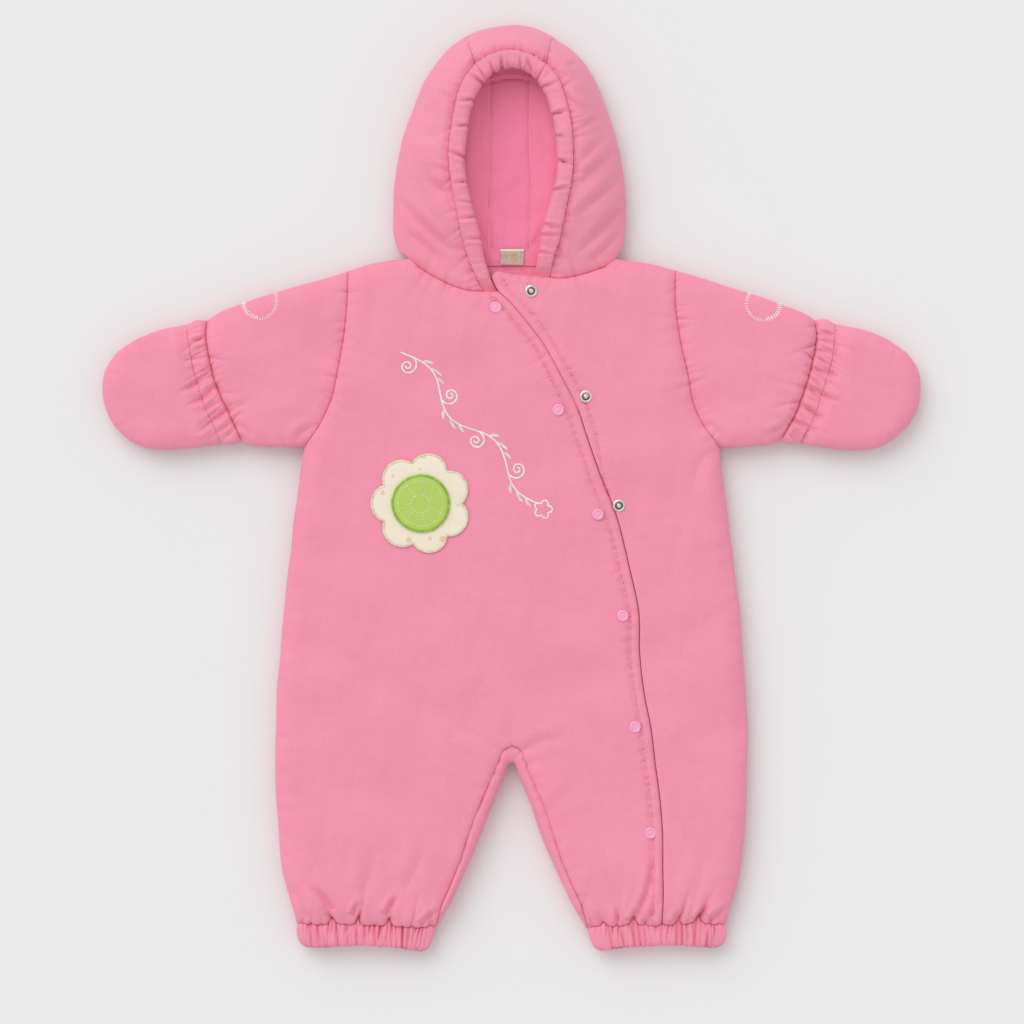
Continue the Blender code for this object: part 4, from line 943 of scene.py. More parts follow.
def bend_end(grid, end, rows=12):
    """Moves a grid's last row onto a cut line, and the rows before it by less and less."""
    change = end - grid[-1]
    for k in range(rows):
        grid[-1 - k] += change * (1 - k / rows)


def lapped(up):
    """0 where the two fronts lie edge to edge, 1 where the right one lies over the left one."""
    return eased((LAP_STARTS - up) / LAP_COMES_OVER)


def lap_height(up, full):
    """Height of a face where the fronts lap, lower towards the ankle, where the cuff draws them in."""
    return PLY + (full - PLY) * (0.45 + 0.55 * eased((up - ANKLE[1][1]) / 20))


def closure_x(up):
    return np.interp(up, whole_closure[:, 1], whole_closure[:, 0])


def body_seams(side):
    """Seams that draw the padding down: armhole, leg seam, ankle and shoulder, as (line, depth, reach)."""
    return [(curve(ARMHOLE, side), 4.0, 9.0), (curve(INSEAM_SEAM, side), 1.6, 5.0),
            (curve(ANKLE, side), 6.0, 15.0), (curve(SHOULDER, side), 1.0, 8.0)]


right_topstitch = beside(smooth(CLOSURE), -RIGHT_ROW_IN)
left_topstitch = part_of(whole_closure, -6, CLOSURE_TIP[-1][1])
left_topstitch[:, 0] += LEFT_ROW_OUT * eased((left_topstitch[:, 1] + 8) / 60)
print("topstitching:", round(walked(right_topstitch)[-1]), "mm and", round(walked(left_topstitch)[-1]), "mm")

# %% What is pressed into the body
neck_gathers = {-1: Gathers(neck_right, 7.5, 2.4, 13, 33, wide=0.24),
                1: Gathers(neck_left, 7.0, 2.6, 15, 34, wide=0.24)}
armhole_gathers = {side: Gathers(curve(ARMHOLE, side), 9.0, 1.9, 11, seed, wide=0.17)
                   for side, seed in ((-1, 42), (1, 52))}
body_marks = [
    swells, dimples, BODY_FOLDS, RIGHT_LEG_FOLDS, LEFT_LEG_FOLDS, SLEEVE_FOLDS, *ankle_gathers.values(),
    Gathers(right_topstitch, 5.0, 2.1, 6.0, 31, wide=0.16),
    Gathers(left_topstitch, 5.0, 2.0, 5.5, 32, wide=0.16),
    Groove(right_topstitch, 1.8, 1.4), Groove(left_topstitch, 1.7, 1.4),
    Groove(beside(smooth(CLOSURE), -4.2), -0.7, 2.4),
    *neck_gathers.values(), *armhole_gathers.values()]
for side, seed in ((-1, 41), (1, 51)):
    body_marks += [
        Gathers(curve(SIDE_SEAM, side), 15, 1.6, 14, seed, wide=0.17),
        Gathers(curve(INSEAM_SEAM, side), 10, 1.7, 12, seed + 2, wide=0.18),
        Gathers(curve(SHOULDER, side), 11, 1.4, 11, seed + 3, wide=0.17)]


# %% The right front
def front_right():
    """Right leg, body, and the left leg's inner part, up to the slanting closure."""
    leg_side, torso_side = side_cuts(-1)
    leg_closure, torso_closure = closure_cuts()
    waist_right = straight(leg_side[-1:], np.array([CROTCH]), IN_FROM_SIDE)[0]
    right_leg = fill(cut_at(curve(ANKLE, -1), IN_FROM_SIDE), waist_right, leg_side, inseam_cuts(-1))

    strip_end = at_across(NECK_RIGHT, torso_closure[-1][0] - STRIP_RIGHT)
    torso_line = edge_line(torso_closure, strip_end, -STRIP_RIGHT)
    leg_line = leg_closure - (STRIP_RIGHT, 0)
    leg_line[0] = at_across(ANKLE, leg_line[0][0])
    lobe_shares = spread(34, 0.5)
    waist_left = straight(np.array([CROTCH]), leg_line[-1:], lobe_shares)[0]
    bottom = straight(smooth(ANKLE)[-1:], leg_line[:1], lobe_shares)[0]
    lobe = fill(bottom, waist_left, inseam_cuts(1), leg_line)

    waist = joined(waist_right, waist_left)
    to_strip = np.concatenate([neck_right[neck_right[:, 0] < strip_end[0]], [strip_end]])
    shoulder = curve(SHOULDER, -1)
    top_line = cut_run([shoulder, [shoulder[-1], NECK_RIGHT[0]], to_strip], len(waist) - 1)
    torso = fill(waist, top_line, torso_side, torso_line)

    columns = spread(18, 0.2)
    strips = [straight(leg_line, leg_closure, columns), straight(torso_line, torso_closure, columns)]
    past_strip = np.concatenate([[strip_end], neck_right[neck_right[:, 0] > strip_end[0]]])
    bend_end(strips[1], cut_at(past_strip, columns))
    sunk = body_seams(-1) + body_seams(1)[1:3] + [(smooth(CLOSURE), 1.9, 3.4), (neck_right, 5.0, 10.0)]

    def under(plan):
        inside = closure_x(plan[:, 1]) - plan[:, 0]
        raised = lapped(plan[:, 1]) * eased((STRIP_RIGHT - inside) / (STRIP_RIGHT - LAP_LIFT))
        return PLY + GAP / 2 + (lap_height(plan[:, 1], LAP_ROOM) - PLY - GAP / 2) * raised

    return wall("padded_front_right", [right_leg, lobe, torso, *strips],
                lambda plan: padded_top(plan, BODY_LOFT, sunk, marks=body_marks), under, shell_cloth)


# %% The left front
def front_left():
    """Its edge runs beside the right front above, and under it below."""
    tip_rows = 10
    side = joined(*side_cuts(1, more=tip_rows))
    closure = joined(*closure_cuts(), cut_at(smooth(CLOSURE_TIP), np.linspace(0, 1, tip_rows + 1)))
    edge = closure.copy()
    edge[:, 0] -= LAP * eased((LAP_WIDENS_FROM - closure[:, 1]) / LAP_WIDENS_OVER)
    strip_end = at_across(NECK_LEFT, closure[-1][0] + STRIP_LEFT)
    line = edge_line(closure, strip_end, STRIP_LEFT)
    line[0], edge[0] = at_across(ANKLE, line[0][0]), at_across(ANKLE, edge[0][0])
    to_side = spread(120, 0.5)
    out = np.interp(to_side, [0, 1], [line[0][0], SIDE_SEAM[0][0]])
    bottom = np.stack([at_across(ANKLE, x) for x in out])
    before, past = [neck_left[(neck_left[:, 0] - strip_end[0]) * way > 0] for way in (-1, 1)]
    shoulder = smooth(SHOULDER)[::-1]
    top_line = cut_run([np.concatenate([[strip_end], past]), [NECK_LEFT[-1], SHOULDER[-1]], shoulder],
                       len(to_side) - 1)
    main = fill(bottom, top_line, line, side)
    stations = [edge, closure + (LAP_EDGE, 0), closure + (LAP_CLOSE, 0), line]
    steps = [np.linspace(0, 1, count + 1) for count in (6, 8, 7)]
    strip = np.concatenate([straight(a, b, shares)[:, (i > 0):] for i, (a, b, shares) in
                            enumerate(zip(stations[:-1], stations[1:], steps))], axis=1)
    shares = (strip[-1, :, 0] - strip[-1, 0, 0]) / (strip_end[0] - strip[-1, 0, 0])
    bend_end(strip, cut_at(np.concatenate([before, [strip_end]]), shares))
    strip[0, :, 1] = [at_across(ANKLE, x)[1] for x in strip[0, :, 0]]
    at_tip = neck_left[:, 0] < 17
    sunk = body_seams(1) + [(neck_left[~at_tip], 5.0, 10.0), (smooth(CLOSURE), 1.2, 3.0),
                            (smooth(CLOSURE_TIP), 3.0, 5.0), (neck_left[at_tip], 2.5, 4.0)]

    def top(plan):
        full = padded_top(plan, BODY_LOFT, sunk, marks=body_marks)
        beyond = plan[:, 0] - closure_x(plan[:, 1])
        sink = lapped(plan[:, 1]) * eased((LAP_CLOSE - beyond) / (LAP_CLOSE - LAP_EDGE))
        return full + (lap_height(plan[:, 1], LAP_TOP) - full) * sink

    return wall("padded_front_left", [main, strip], top, on_back, shell_cloth)


# %% The back
def back():
    """The back of the body and both legs, in one piece, flat where it lies on the ground."""
    across = IN_FROM_SIDE[::2]
    grids, waists, torsos = [], [], []
    for side in (-1, 1):
        leg_side, torso_side = side_cuts(side, every=2)
        waists.append(straight(leg_side[-1:], np.array([CROTCH]), across)[0])
        torsos.append(torso_side)
        ankle = cut_at(curve(ANKLE, side), across)
        grids.append(fill(ankle, waists[-1], leg_side, inseam_cuts(side, every=2)))
    bottom = joined(waists[0], waists[1][::-1])
    shoulders = curve(SHOULDER, -1), smooth(SHOULDER)[::-1]
    lines = [shoulders[0], [shoulders[0][-1], NECK_BACK[0]], smooth(NECK_BACK),
             [NECK_BACK[-1], SHOULDER[-1]], shoulders[1]]
    grids.append(fill(bottom, cut_run(lines, len(bottom) - 1), *torsos))
    return wall("padded_back", grids, under_front, lambda plan: under_side(plan, body_marks), shell_cloth)


# %% The strip between the legs
def leg_gusset():
    """Along both inner legs and through the crotch, between the front and the back."""
    inner, outer = [joined(cut_at(curve(line, -1), UP_LEG), cut_at(smooth(line), UP_LEG)[::-1])
                    for line in (INSEAM_SEAM, INSEAM_EDGE)]
    # the strip's own section: how far out from the seam, and how high up
    section = smooth([(0, 0.8), (0.45, 0.2), (0.8, 2.4), (0.97, 7), (1, 12), (0.93, 16.6), (0.66, 20.2),
                      (0.3, 21.6), (0, 20.6)], 3)
    ankle_drop = 1 - 0.3 * (1 - eased((inner[:, 1] + 350) / 18))
    rings = []
    for near, far, scale in zip(inner, outer, ankle_drop):
        wide = far - near
        out = wide / max(np.linalg.norm(wide), 1e-6) * SEAM
        rings.append([(*(near + out + share * (wide - out)), max(z, 0) * scale) for share, z in section])
    rings = np.array(rings)
    pressed = sum(Gathers(curve(INSEAM_SEAM, side), 10, 1.3, 14, seed, wide=0.17)(rings[..., :2])
                  for side, seed in ((-1, 61), (1, 62)))
    rings[..., 2] += np.where(rings[..., 2] > PLY, pressed, 0)
    gap_rows(rings[..., :2])
    return ring_solid("padded_leg_gusset", rings, shell_cloth)


body = {"front_right": front_right(), "front_left": front_left(), "back": back(), "leg_gusset": leg_gusset()}
report(*body.values())

# %% [markdown]
# ## Sleeves, wrist bands and mittens
# A sleeve is folded along its top, and its underarm seam is the lower edge. Over the wrist lies a band
# with elastic in it, and the mitten is two halves sewn round the edge. The elastic's creases cross all
# three, so the same gathers are pressed into each of them.

# %% The sleeves
def arm_marks(side):
    return [swells, dimples, SLEEVE_FOLDS, lambda p: 0.4 * wrist_gathers[side](p), WRIST_FOLDS[side],
            armhole_gathers[side],
            Gathers(curve(WRIST_SEAM, side), 9.5, 3.4, 12, 73 + side, lean=0.35, wide=0.12),
            Gathers(curve(SLEEVE_UNDER, side), 12, 1.0, 10, 63 + side, wide=0.17)]


def sleeve(side, name):
    """A sleeve pressed flat, folded along its top and its underarm."""
    along = spread(62, 0.5)
    lines = (ARMHOLE, WRIST_SEAM, SLEEVE_UNDER, SLEEVE_TOP)
    plan = limb(lines, (ACROSS_WRIST, ACROSS_WRIST, along, along), side)
    sunk = [(curve(ARMHOLE, side), 3.0, 9.0), (curve(WRIST_SEAM, side), 7.0, 8.0)]
    return flat_tube(name, plan, ARM_LOFT, sunk, arm_marks(side), crown=1.5)


# %% The wrist bands
def wrist_band(side, name):
    """The gathered band between a sleeve and its mitten."""
    along = np.linspace(0, 1, 13)
    lines = (WRIST_SEAM, MITTEN_SEAM, BAND_UNDER, BAND_TOP)
    plan = limb(lines, (ACROSS_WRIST, ACROSS_WRIST, along, along), side)
    sunk = [(curve(WRIST_SEAM, side), 4.7, 5.0), (curve(MITTEN_SEAM, side), 0.9, 2.6)]
    return flat_tube(name, plan, BAND_LOFT, sunk, [wrist_gathers[side], WRIST_FOLDS[side]])


# %% The mittens
def mitten(side, upper, name):
    """One half of a mitten: its back, which shows, or its palm, which lies on the ground."""
    along, tip = spread(58, 0.6), np.linspace(0, 1, len(ACROSS_WRIST))
    lines = (MITTEN_SEAM, MITTEN_TIP, MITTEN_UNDER, MITTEN_TOP)
    plan = limb(lines, (ACROSS_WRIST, tip, along, along), side)
    seam = curve(MITTEN_SEAM, side)
    edge = np.concatenate([curve(line, side) for line in (MITTEN_UNDER, MITTEN_TIP, MITTEN_TOP[::-1])])
    marks = [swells, dimples, lambda p: 1.1 * wrist_gathers[side](p), WRIST_FOLDS[side],
             Gathers(edge, 10, 1.3, 10, 71 + side, wide=0.16)]
    if upper:
        sunk = [(seam, 2.6, 12.0, True), (seam, 0.5, 2.0)]
        return wall(name, [plan], lambda p: padded_top(p, ARM_LOFT, sunk, 1.5, marks), on_back, shell_cloth)
    return wall(name, [plan], under_front, lambda p: under_side(p, marks), shell_cloth)


# %% The ankle cuffs
def ankle_cuff(side, name):
    """The gathered cuff at an ankle, with its open mouth at the hem."""
    along = np.linspace(0, 1, 17)
    lines = (ANKLE, CUFF_HEM, CUFF_OUTER, CUFF_INNER)
    plan = limb(lines, (ACROSS_CUFF, ACROSS_CUFF, along, along), side)
    hem = curve(CUFF_HEM, side)
    near_hem = np.exp(-(measured(plan, hem, 12)[0] / 5) ** 2)
    plan[..., 1] -= near_hem * (0.3 + 0.2 * cuff_creases[side](plan))
    sunk = [(hem, 2.2, 4.0), (curve(ANKLE, side), 2.2, 4.0)]
    marks = [*cuff_gathers[side], cuff_creases[side], dimples]
    return flat_tube(name, plan, CUFF_LOFT, sunk, marks, mouth=CUFF_MOUTH, slit=0.05)


SIDES = {-1: "right", 1: "left"}
for side, name in SIDES.items():
    body["sleeve_" + name] = sleeve(side, "padded_sleeve_" + name)
    body["wrist_band_" + name] = wrist_band(side, "gathered_wrist_band_" + name)
    body["mitten_back_" + name] = mitten(side, True, "padded_mitten_back_" + name)
    body["mitten_palm_" + name] = mitten(side, False, "padded_mitten_palm_" + name)
    body["ankle_cuff_" + name] = ankle_cuff(side, "gathered_ankle_cuff_" + name)
report(*[piece for node, piece in body.items() if node.endswith("_left") and node != "front_left"])

# %% [markdown]
# ## The hood
# The hood lies on its back, with the face opening up. Its two sides meet a centre strip that runs from
# the crown down the back, and round the opening runs a padded casing. Each side comes up from under
# the head, folds over at the outline and climbs to the casing, so it is one folded wall.


# %% Lines of a hood side
def hood_height(up):
    return np.interp(up, HOOD_RISE["up"], HOOD_RISE["front"])


def hood_side_lines(side):
    """The outline, edge seam, opening and back seam of one hood side, each cut from the neck to the crown."""
    outline = cut_at(curve(HOOD_OUTLINE, side), UP_HOOD)
    outline += eased(np.arange(len(outline)) / 12)[:, None] * (HOOD_X, 0)
    lines = (RIM_ENDS[side] + in_half(RIM_OUTER, side, RIM_X),
             MOUTH_ENDS[side] + in_half(OPENING, side, RIM_X),
             in_half(HOOD_SEAM, side, HOOD_X))
    return [outline] + [cut_at(smooth(line), UP_HOOD) for line in lines]


rim_lines = {side: hood_side_lines(side)[1] for side in SIDES}
rim_top = curve(RIM_TOP, across=RIM_X)
crown_seams = {side: np.array([(HOOD_X + side * 34.4, 362.0), (RIM_X + side * 28, 337.2)]) for side in SIDES}
hood_marks = [Waves(34, 80, 0.45, 81), dimples, HOOD_FOLDS, Gathers(rim_top, 6.5, 2.0, 11, 82, wide=0.18)]
for side in SIDES:
    hood_marks += [
        Gathers(rim_lines[side], 7.5, 2.0, 11, 84 + side, wide=0.18),
        Gathers(crown_seams[side], 6.5, 0.9, 7, 87 + side, wide=0.18),
        neck_gathers[side]]
hood_sunk = [(rim_lines[-1], 1.8, 7, True), (rim_lines[1], 2.2, 8, True), (rim_top, 1.8, 7, True)]
hood_sunk += [(line, 0.6, 2.0) for line in (rim_lines[-1], rim_lines[1], rim_top)]
hood_sunk += [(line, 2.6, 8) for line in crown_seams.values()] + [(neck_right, 3.0, 8), (neck_left, 3.0, 8)]


def hood_front_top(plan, outline, rim):
    """Height of the hood's front between its outline and its edge seam."""
    span = np.linalg.norm(rim - outline, axis=1)[:, None]
    share = np.linalg.norm(plan - outline[:, None], axis=2) / span
    low = PLY + EDGE
    z = low + (hood_height(rim[:, 1])[:, None] - low) * np.sin(math.pi / 2 * np.clip(share, 0, 1) ** 0.75)
    fade = eased(share * span / 9)
    for line, depth, reach, *soft in hood_sunk:
        z = z - fade * depth * valley(measured(plan, line, reach)[0] / reach, soft)
    for mark in hood_marks:
        z = z + fade * mark(plan)
    return z


# %% A panel that folds at the outline
def folded_wall(name, outline, rim, fold, front, rear):
    """A hood panel that comes up from under the head, folds at the outline, and runs on to the edge seam.

    outline, fold: the outer fold and the inner one. front, rear: grids from the fold to the edge seam
    and to the seam underneath."""
    front[:, -1] = inwards(front[:, -1], front[:, -2], SEAM / 2)
    gap_rows(outline, fold, front, rear)
    front[:, 0] = rear[:, 0] = fold
    strip = straight(outline, fold, spread(9, 0.3) ** 1.5)
    z_strip, z_top = [hood_front_top(plan, outline, rim) for plan in (strip, front)]
    z_strip[:, 0] = PLY + EDGE
    z_under_strip, z_under = [under_roll(plan, [outline]) for plan in (strip, rear)]
    inner_front = np.maximum(z_top - HOOD_WALL, PLY + LINING_ROOM)
    inner_rear = np.full(rear.shape[:2], PLY - GAP / 2)
    solid = Solid()
    for plan, z in ((strip, z_strip), (front, z_top), (strip, z_under_strip), (rear, z_under),
                    (front, inner_front), (rear, inner_rear)):
        solid.sheet(plan, z)
    solid.between(outline, z_under_strip[:, 0], z_strip[:, 0])
    solid.between(fold, inner_rear[:, 0], inner_front[:, 0])
    solid.between(front[:, -1], inner_front[:, -1], z_top[:, -1])
    solid.between(rear[:, -1], z_under[:, -1], inner_rear[:, -1])
    for row in (0, -1):
        levels = [list(heights) for heights in zip(z_under_strip[row], z_strip[row])]
        levels[-1] = [z_under_strip[row, -1], inner_rear[row, 0], inner_front[row, 0], z_strip[row, -1]]
        solid.curtain(strip[row], levels)
        solid.between(front[row], inner_front[row], z_top[row])
        solid.between(rear[row], z_under[row], inner_rear[row])
    return solid.finish(name, shell_cloth)


# %% The hood's sides
def hood_side(side, name):
    outline, rim, _, seam = hood_side_lines(side)
    fold = inwards(outline, rim, HOOD_WALL)
    corner = np.array([side * NECK_FOLD[0], NECK_FOLD[1]])
    fold += (1 - eased(np.arange(len(fold)) / 10))[:, None] * (corner - fold[0])
    shares = spread(34, 0.3)
    neck = smooth(NECK_RIGHT if side < 0 else NECK_LEFT[::-1])
    stop = shares_of(neck)[np.argmin(np.linalg.norm(neck - rim[0], axis=1))]
    front = straight(fold, rim, shares)[::-1]
    bend_end(front, cut_at(neck, stop * shares), 16)
    rear = straight(fold, beside(seam, side * SEAM), np.linspace(0, 1, 17))[::-1]
    bend_end(rear, np.stack([at_across(NECK_BACK, x) for x in rear[-1, :, 0]]), 10)
    return folded_wall(name, outline, rim, fold, front[::-1], rear[::-1])


# %% The hood's centre strip
def hood_centre(name):
    """The strip over the crown and down the back of the hood, between the two sides."""
    outline, rim = cut_at(curve(HOOD_TOP, across=HOOD_X), ACROSS_CROWN), cut_at(rim_top, ACROSS_CROWN)
    fold = inwards(outline, rim, HOOD_WALL)
    front = straight(fold, rim, np.linspace(0, 1, 12))
    seam = cut_at(smooth(HOOD_SEAM), UP_HOOD[::2])[::-1]
    rear = []
    for start, share in zip(fold, ACROSS_CROWN):
        level = fold[0][1] + share * (fold[-1][1] - fold[0][1])
        rise = (start[1] - level) * eased((seam[:, 1] - 310) / 40)
        down = np.stack([HOOD_X + (2 * share - 1) * seam[:, 0], seam[:, 1] + rise], axis=1)
        rear.append(joined([start], down))
    rear, neck = np.array(rear), smooth(NECK_BACK)
    rear[:, -1, 1] = np.interp(rear[:, -1, 0], neck[:, 0], neck[:, 1]) + GAP / 2
    return folded_wall(name, outline, rim, fold, front, rear)


# %% The padded casing round the face opening
RIM_STANDS = 1.3  # how far the casing stands up over the hood
DIVE_SHARE, DIVE_DEPTH = 0.55, 2.2  # how it goes under the neck edge
rim_marks = [RIM_FOLDS]
for side in SIDES:
    crossing = smooth([(RIM_X + side * 28, 337.2), (RIM_X + side * 20.5, 324.3)])
    rim_marks.append(Groove(crossing, 2.2, 0.9))
for line, seed in ((rim_lines[-1], 91), (rim_lines[1], 92), (rim_top, 93)):
    rim_marks.append(Gathers(line, 6.5, 2.6, 10, seed, lean=0.25, wide=0.15))


def hood_edge(name, rim, mouth, sides=30):
    """A stretch of the casing, between its seam and its free edge."""
    turns = math.tau * (np.arange(sides) + 0.5) / sides
    rings = []
    for outer, inner in zip(inwards(rim, mouth, SEAM), mouth):
        half = np.interp(outer[1], HOOD_RISE["up"], HOOD_RISE["half"])
        centre, reach = (outer + inner) / 2, (outer - inner) / 2
        middle = hood_height(outer[1]) + RIM_STANDS - half
        ring = []
        for wide, high in zip(np.cos(turns), np.sin(turns)):
            squared = 8 if wide > 0 else 2.4  # flat up to the seam, round at the free edge
            full = (abs(wide) ** squared + abs(high) ** squared) ** (-1 / squared)
            ring.append((*(centre + reach * wide * full), middle + half * high * full))
        rings.append(ring)
    rings = np.array(rings)
    free = np.clip(0.5 - np.cos(turns), 0, 1)  # 0 at the seam
    pressed = sum(mark(rings[..., :2]) for mark in rim_marks) * (0.35 + 0.65 * free)
    if rim[0][1] < 200:  # a side's casing dives under the neck edge at its end
        dive = 1 - eased((rings[..., 1].mean(axis=1) - rim[0][1]) / 12)[:, None]
        low = rings[..., 2].min(axis=1, keepdims=True)
        rings[..., 2] = low * DIVE_SHARE * dive + rings[..., 2] * (1 - DIVE_SHARE * dive) - DIVE_DEPTH * dive
    centres = rings.mean(axis=1, keepdims=True)
    upward = np.clip((rings[..., 2:] - centres[..., 2:]) / 7, -0.35, 1)
    rings[..., 2:] += pressed[..., None] * upward
    across = rings[..., :2] - centres[..., :2]
    rings[..., :2] += across * (np.clip(pressed * 0.1, -0.36, 0.1) * free)[..., None]
    gap_rows(rings)
    return ring_solid(name, rings, shell_cloth)


for side, name in SIDES.items():
    body["hood_side_" + name] = hood_side(side, "padded_hood_side_" + name)
    body["hood_edge_" + name] = hood_edge("padded_hood_edge_" + name, *hood_side_lines(side)[1:3])
body["hood_centre"] = hood_centre("padded_hood_centre")
body["hood_edge_top"] = hood_edge("padded_hood_edge_top", cut_at(rim_top, ACROSS_CROWN),
                                  cut_at(curve(OPENING_TOP, across=RIM_X), ACROSS_CROWN))
report(*[body[node] for node in ("hood_side_left", "hood_edge_left", "hood_centre", "hood_edge_top")])

# %% [markdown]
# ## The hood's lining
# Inside the hood the lining lies loose on the back wall and climbs a little at both sides. It is one
# layer of softer cloth in three pieces, so it is kept thin.


# %% The lining
LINING_THICK = 1.2
LINING_FOOT = 178.2  # where it starts above the neck seam
hood_outlines = [curve(HOOD_OUTLINE, side, HOOD_X, steps=4) for side in SIDES]
lining_marks = [Waves(14, 40, 0.35, 95), Folds([
    ([(-10, 188), (-22, 197), (-27, 212)], 0.9, 2.2), ([(12, 189), (21, 199), (25, 214)], 0.9, 2.2),
    ([(-4, 186), (-6, 204), (-3, 220)], 0.6, 2.4), ([(-24, 250), (-26, 280), (-20, 306)], 0.7, 3.0),
    ([(24, 244), (27, 272), (22, 300)], 0.7, 3.0), ([(-26, 323), (0, 328), (24, 324)], 2.0, 1.1)])]


def lining_under(plan):
    """Underside of the lining: low in the middle, climbing at both sides and at the crown."""
    out, up, inside = np.abs(plan[:, 0] - HOOD_X), plan[:, 1], inside_of(plan, hood_outlines)
    lift = 3.0 * (1 - eased((inside - HOOD_WALL) / 22)) * eased((up - 240) / 40)
    bowl = 6.0 * eased((out - 14) / 24) * eased((up - 184) / 30)
    bowl = bowl * eased((inside - HOOD_WALL - 8) / 22)
    loose = sum(mark(plan) for mark in lining_marks) * eased((inside - 14) / 12)
    seams = -0.8 * np.exp(-((out - 15.6) / 1.3) ** 2)
    z = PLY + GAP / 2 + lift + 9.0 * eased((up - 327) / 32)
    raised = np.maximum(bowl + loose + 1.4 + seams * eased((up - 184) / 10), 0) * (inside > 12)
    return z + raised * eased((up - 177) / 9)


def lining_piece(name, grid):
    return wall("cloth_" + name, [grid], lambda p: lining_under(p) + LINING_THICK, lining_under, lining_cloth)


def lining_side(side, name, rows=90):
    """The lining between the back seam and the hood's fold, where it shows through the face opening."""
    up, row = np.linspace(0, 1, rows), np.arange(rows)
    seam = cut_at(part_of(curve(HOOD_SEAM, side, HOOD_X), LINING_FOOT, 340), up)
    far = inwards(cut_at(curve(HOOD_OUTLINE, side, HOOD_X), up), seam, HOOD_WALL + 1.2)
    first = at_across(in_half(NECK_BACK, -side), side * 72) + (0, 0.4)
    far += (1 - eased(row / 10))[:, None] * (first - far[0])
    far += eased((row - 76) / 13)[:, None] * (np.array((HOOD_X + side * 34, 346)) - far[-1])
    return lining_piece(name, straight(far, seam, spread(36, 0.2)))


def lining_centre(name):
    rows = np.linspace(LINING_FOOT, 355, 110)
    half = np.minimum(at_up(smooth(HOOD_SEAM), rows)[:, 0], 17)
    seams = [np.stack([HOOD_X + side * half, rows], axis=1) for side in SIDES]
    return lining_piece(name, straight(*seams, spread(20, 0.2)))


linings = {f"hood_lining_{name}": lining_side(side, f"hood_lining_{name}") for side, name in SIDES.items()}
linings["hood_lining_centre"] = lining_centre("hood_lining_centre")
report(*linings.values())

# %% [markdown]
# ## Thread
# Every row of stitching and all embroidery here is one thing repeated: a short stroke of thread that
# follows a line. A Geometry Nodes tree does it. The line is laid on the cloth first, as a chain of
# edges that knows which way the cloth faces and how long its strokes should be. The tree turns it into
# evenly spaced points, and sets a stroke on each, along the line or across it.

# %% The tree that sets strokes of thread along a line
STROKE_INPUTS = {"Spacing": ("Float", 0.003), "Length": ("Float", 0.002), "Thickness": ("Float", 0.0005),
                 "Turn": ("Float", 0.0), "Unevenness": ("Float", 0.1), "Seed": ("Int", 0)}


def stroke_tree():
    tree = bpy.data.node_groups.new("thread_strokes", "GeometryNodeTree")

    def socket(name, kind, way="INPUT"):
        return tree.interface.new_socket(name, in_out=way, socket_type="NodeSocket" + kind)

    socket("Line", "Geometry")
    for name, (kind, start) in STROKE_INPUTS.items():
        socket(name, kind).default_value = start
    socket("Thread", "Material")
    socket("Strokes", "Geometry", "OUTPUT")

    def node(kind, values=(), output=0, **settings):
        made = tree.nodes.new(kind)
        for name, value in settings.items():
            setattr(made, name, value)
        for key, value in dict(values).items():
            if isinstance(value, bpy.types.NodeSocket):
                tree.links.new(value, made.inputs[key])
            else:
                made.inputs[key].default_value = value
        return made.outputs[output]

    def maths(operation, first, second):
        return node("ShaderNodeMath", {0: first, 1: second}, operation=operation)

    def chance(low, high, offset):
        seed = maths("ADD", given["Seed"], offset)
        return node("FunctionNodeRandomValue", {2: low, 3: high, "Seed": seed}, 1, data_type="FLOAT")

    given = tree.nodes.new("NodeGroupInput").outputs
    uneven = given["Unevenness"]
    chain = node("GeometryNodeMeshToCurve", {"Mesh": given["Line"]})
    points = node("GeometryNodeResampleCurve", {"Curve": chain, "Length": given["Spacing"]}, mode="LENGTH")
    up = node("GeometryNodeInputNamedAttribute", {"Name": "up"}, data_type="FLOAT_VECTOR")
    reach = node("GeometryNodeInputNamedAttribute", {"Name": "reach"}, data_type="FLOAT")
    standing = node("FunctionNodeAlignRotationToVector", {"Vector": up}, axis="Z")
    along = node("FunctionNodeAlignRotationToVector",
                 {"Rotation": standing, "Vector": node("GeometryNodeInputTangent")}, axis="X", pivot_axis="Z")
    lean = maths("ADD", given["Turn"], maths("MULTIPLY", chance(-1.0, 1.0, 1), uneven))
    turn = node("FunctionNodeEulerToRotation", {0: node("ShaderNodeCombineXYZ", {"Z": lean})})
    facing = node("FunctionNodeRotateRotation", {"Rotation": along, "Rotate By": turn},
                  rotation_space="LOCAL")
    longer = maths("MULTIPLY", reach, maths("ADD", 1.0, maths("MULTIPLY", chance(-1.0, 1.0, 2), uneven)))
    size = node("ShaderNodeCombineXYZ", {"X": longer, "Y": 1.0, "Z": 1.0})
    ball = node("GeometryNodeMeshUVSphere", {"Segments": 7, "Rings": 5, "Radius": 0.5})
    thick = given["Thickness"]
    shape = node("ShaderNodeCombineXYZ", {"X": given["Length"], "Y": thick, "Z": thick})
    stroke = node("GeometryNodeTransform", {"Geometry": ball, "Scale": shape})
    placed = node("GeometryNodeInstanceOnPoints",
                  {"Points": points, "Instance": stroke, "Rotation": facing, "Scale": size})
    real = node("GeometryNodeRealizeInstances", {"Geometry": placed})
    soft = node("GeometryNodeSetShadeSmooth", {"Geometry": real})
    done = node("GeometryNodeSetMaterial", {"Geometry": soft, "Material": given["Thread"]})
    tree.links.new(done, tree.nodes.new("NodeGroupOutput").inputs["Strokes"])
    return tree


strokes = stroke_tree()
stroke_sockets = {item.name: item.identifier
                  for item in strokes.interface.items_tree if item.in_out == "INPUT"}
print("stroke inputs:", list(stroke_sockets))


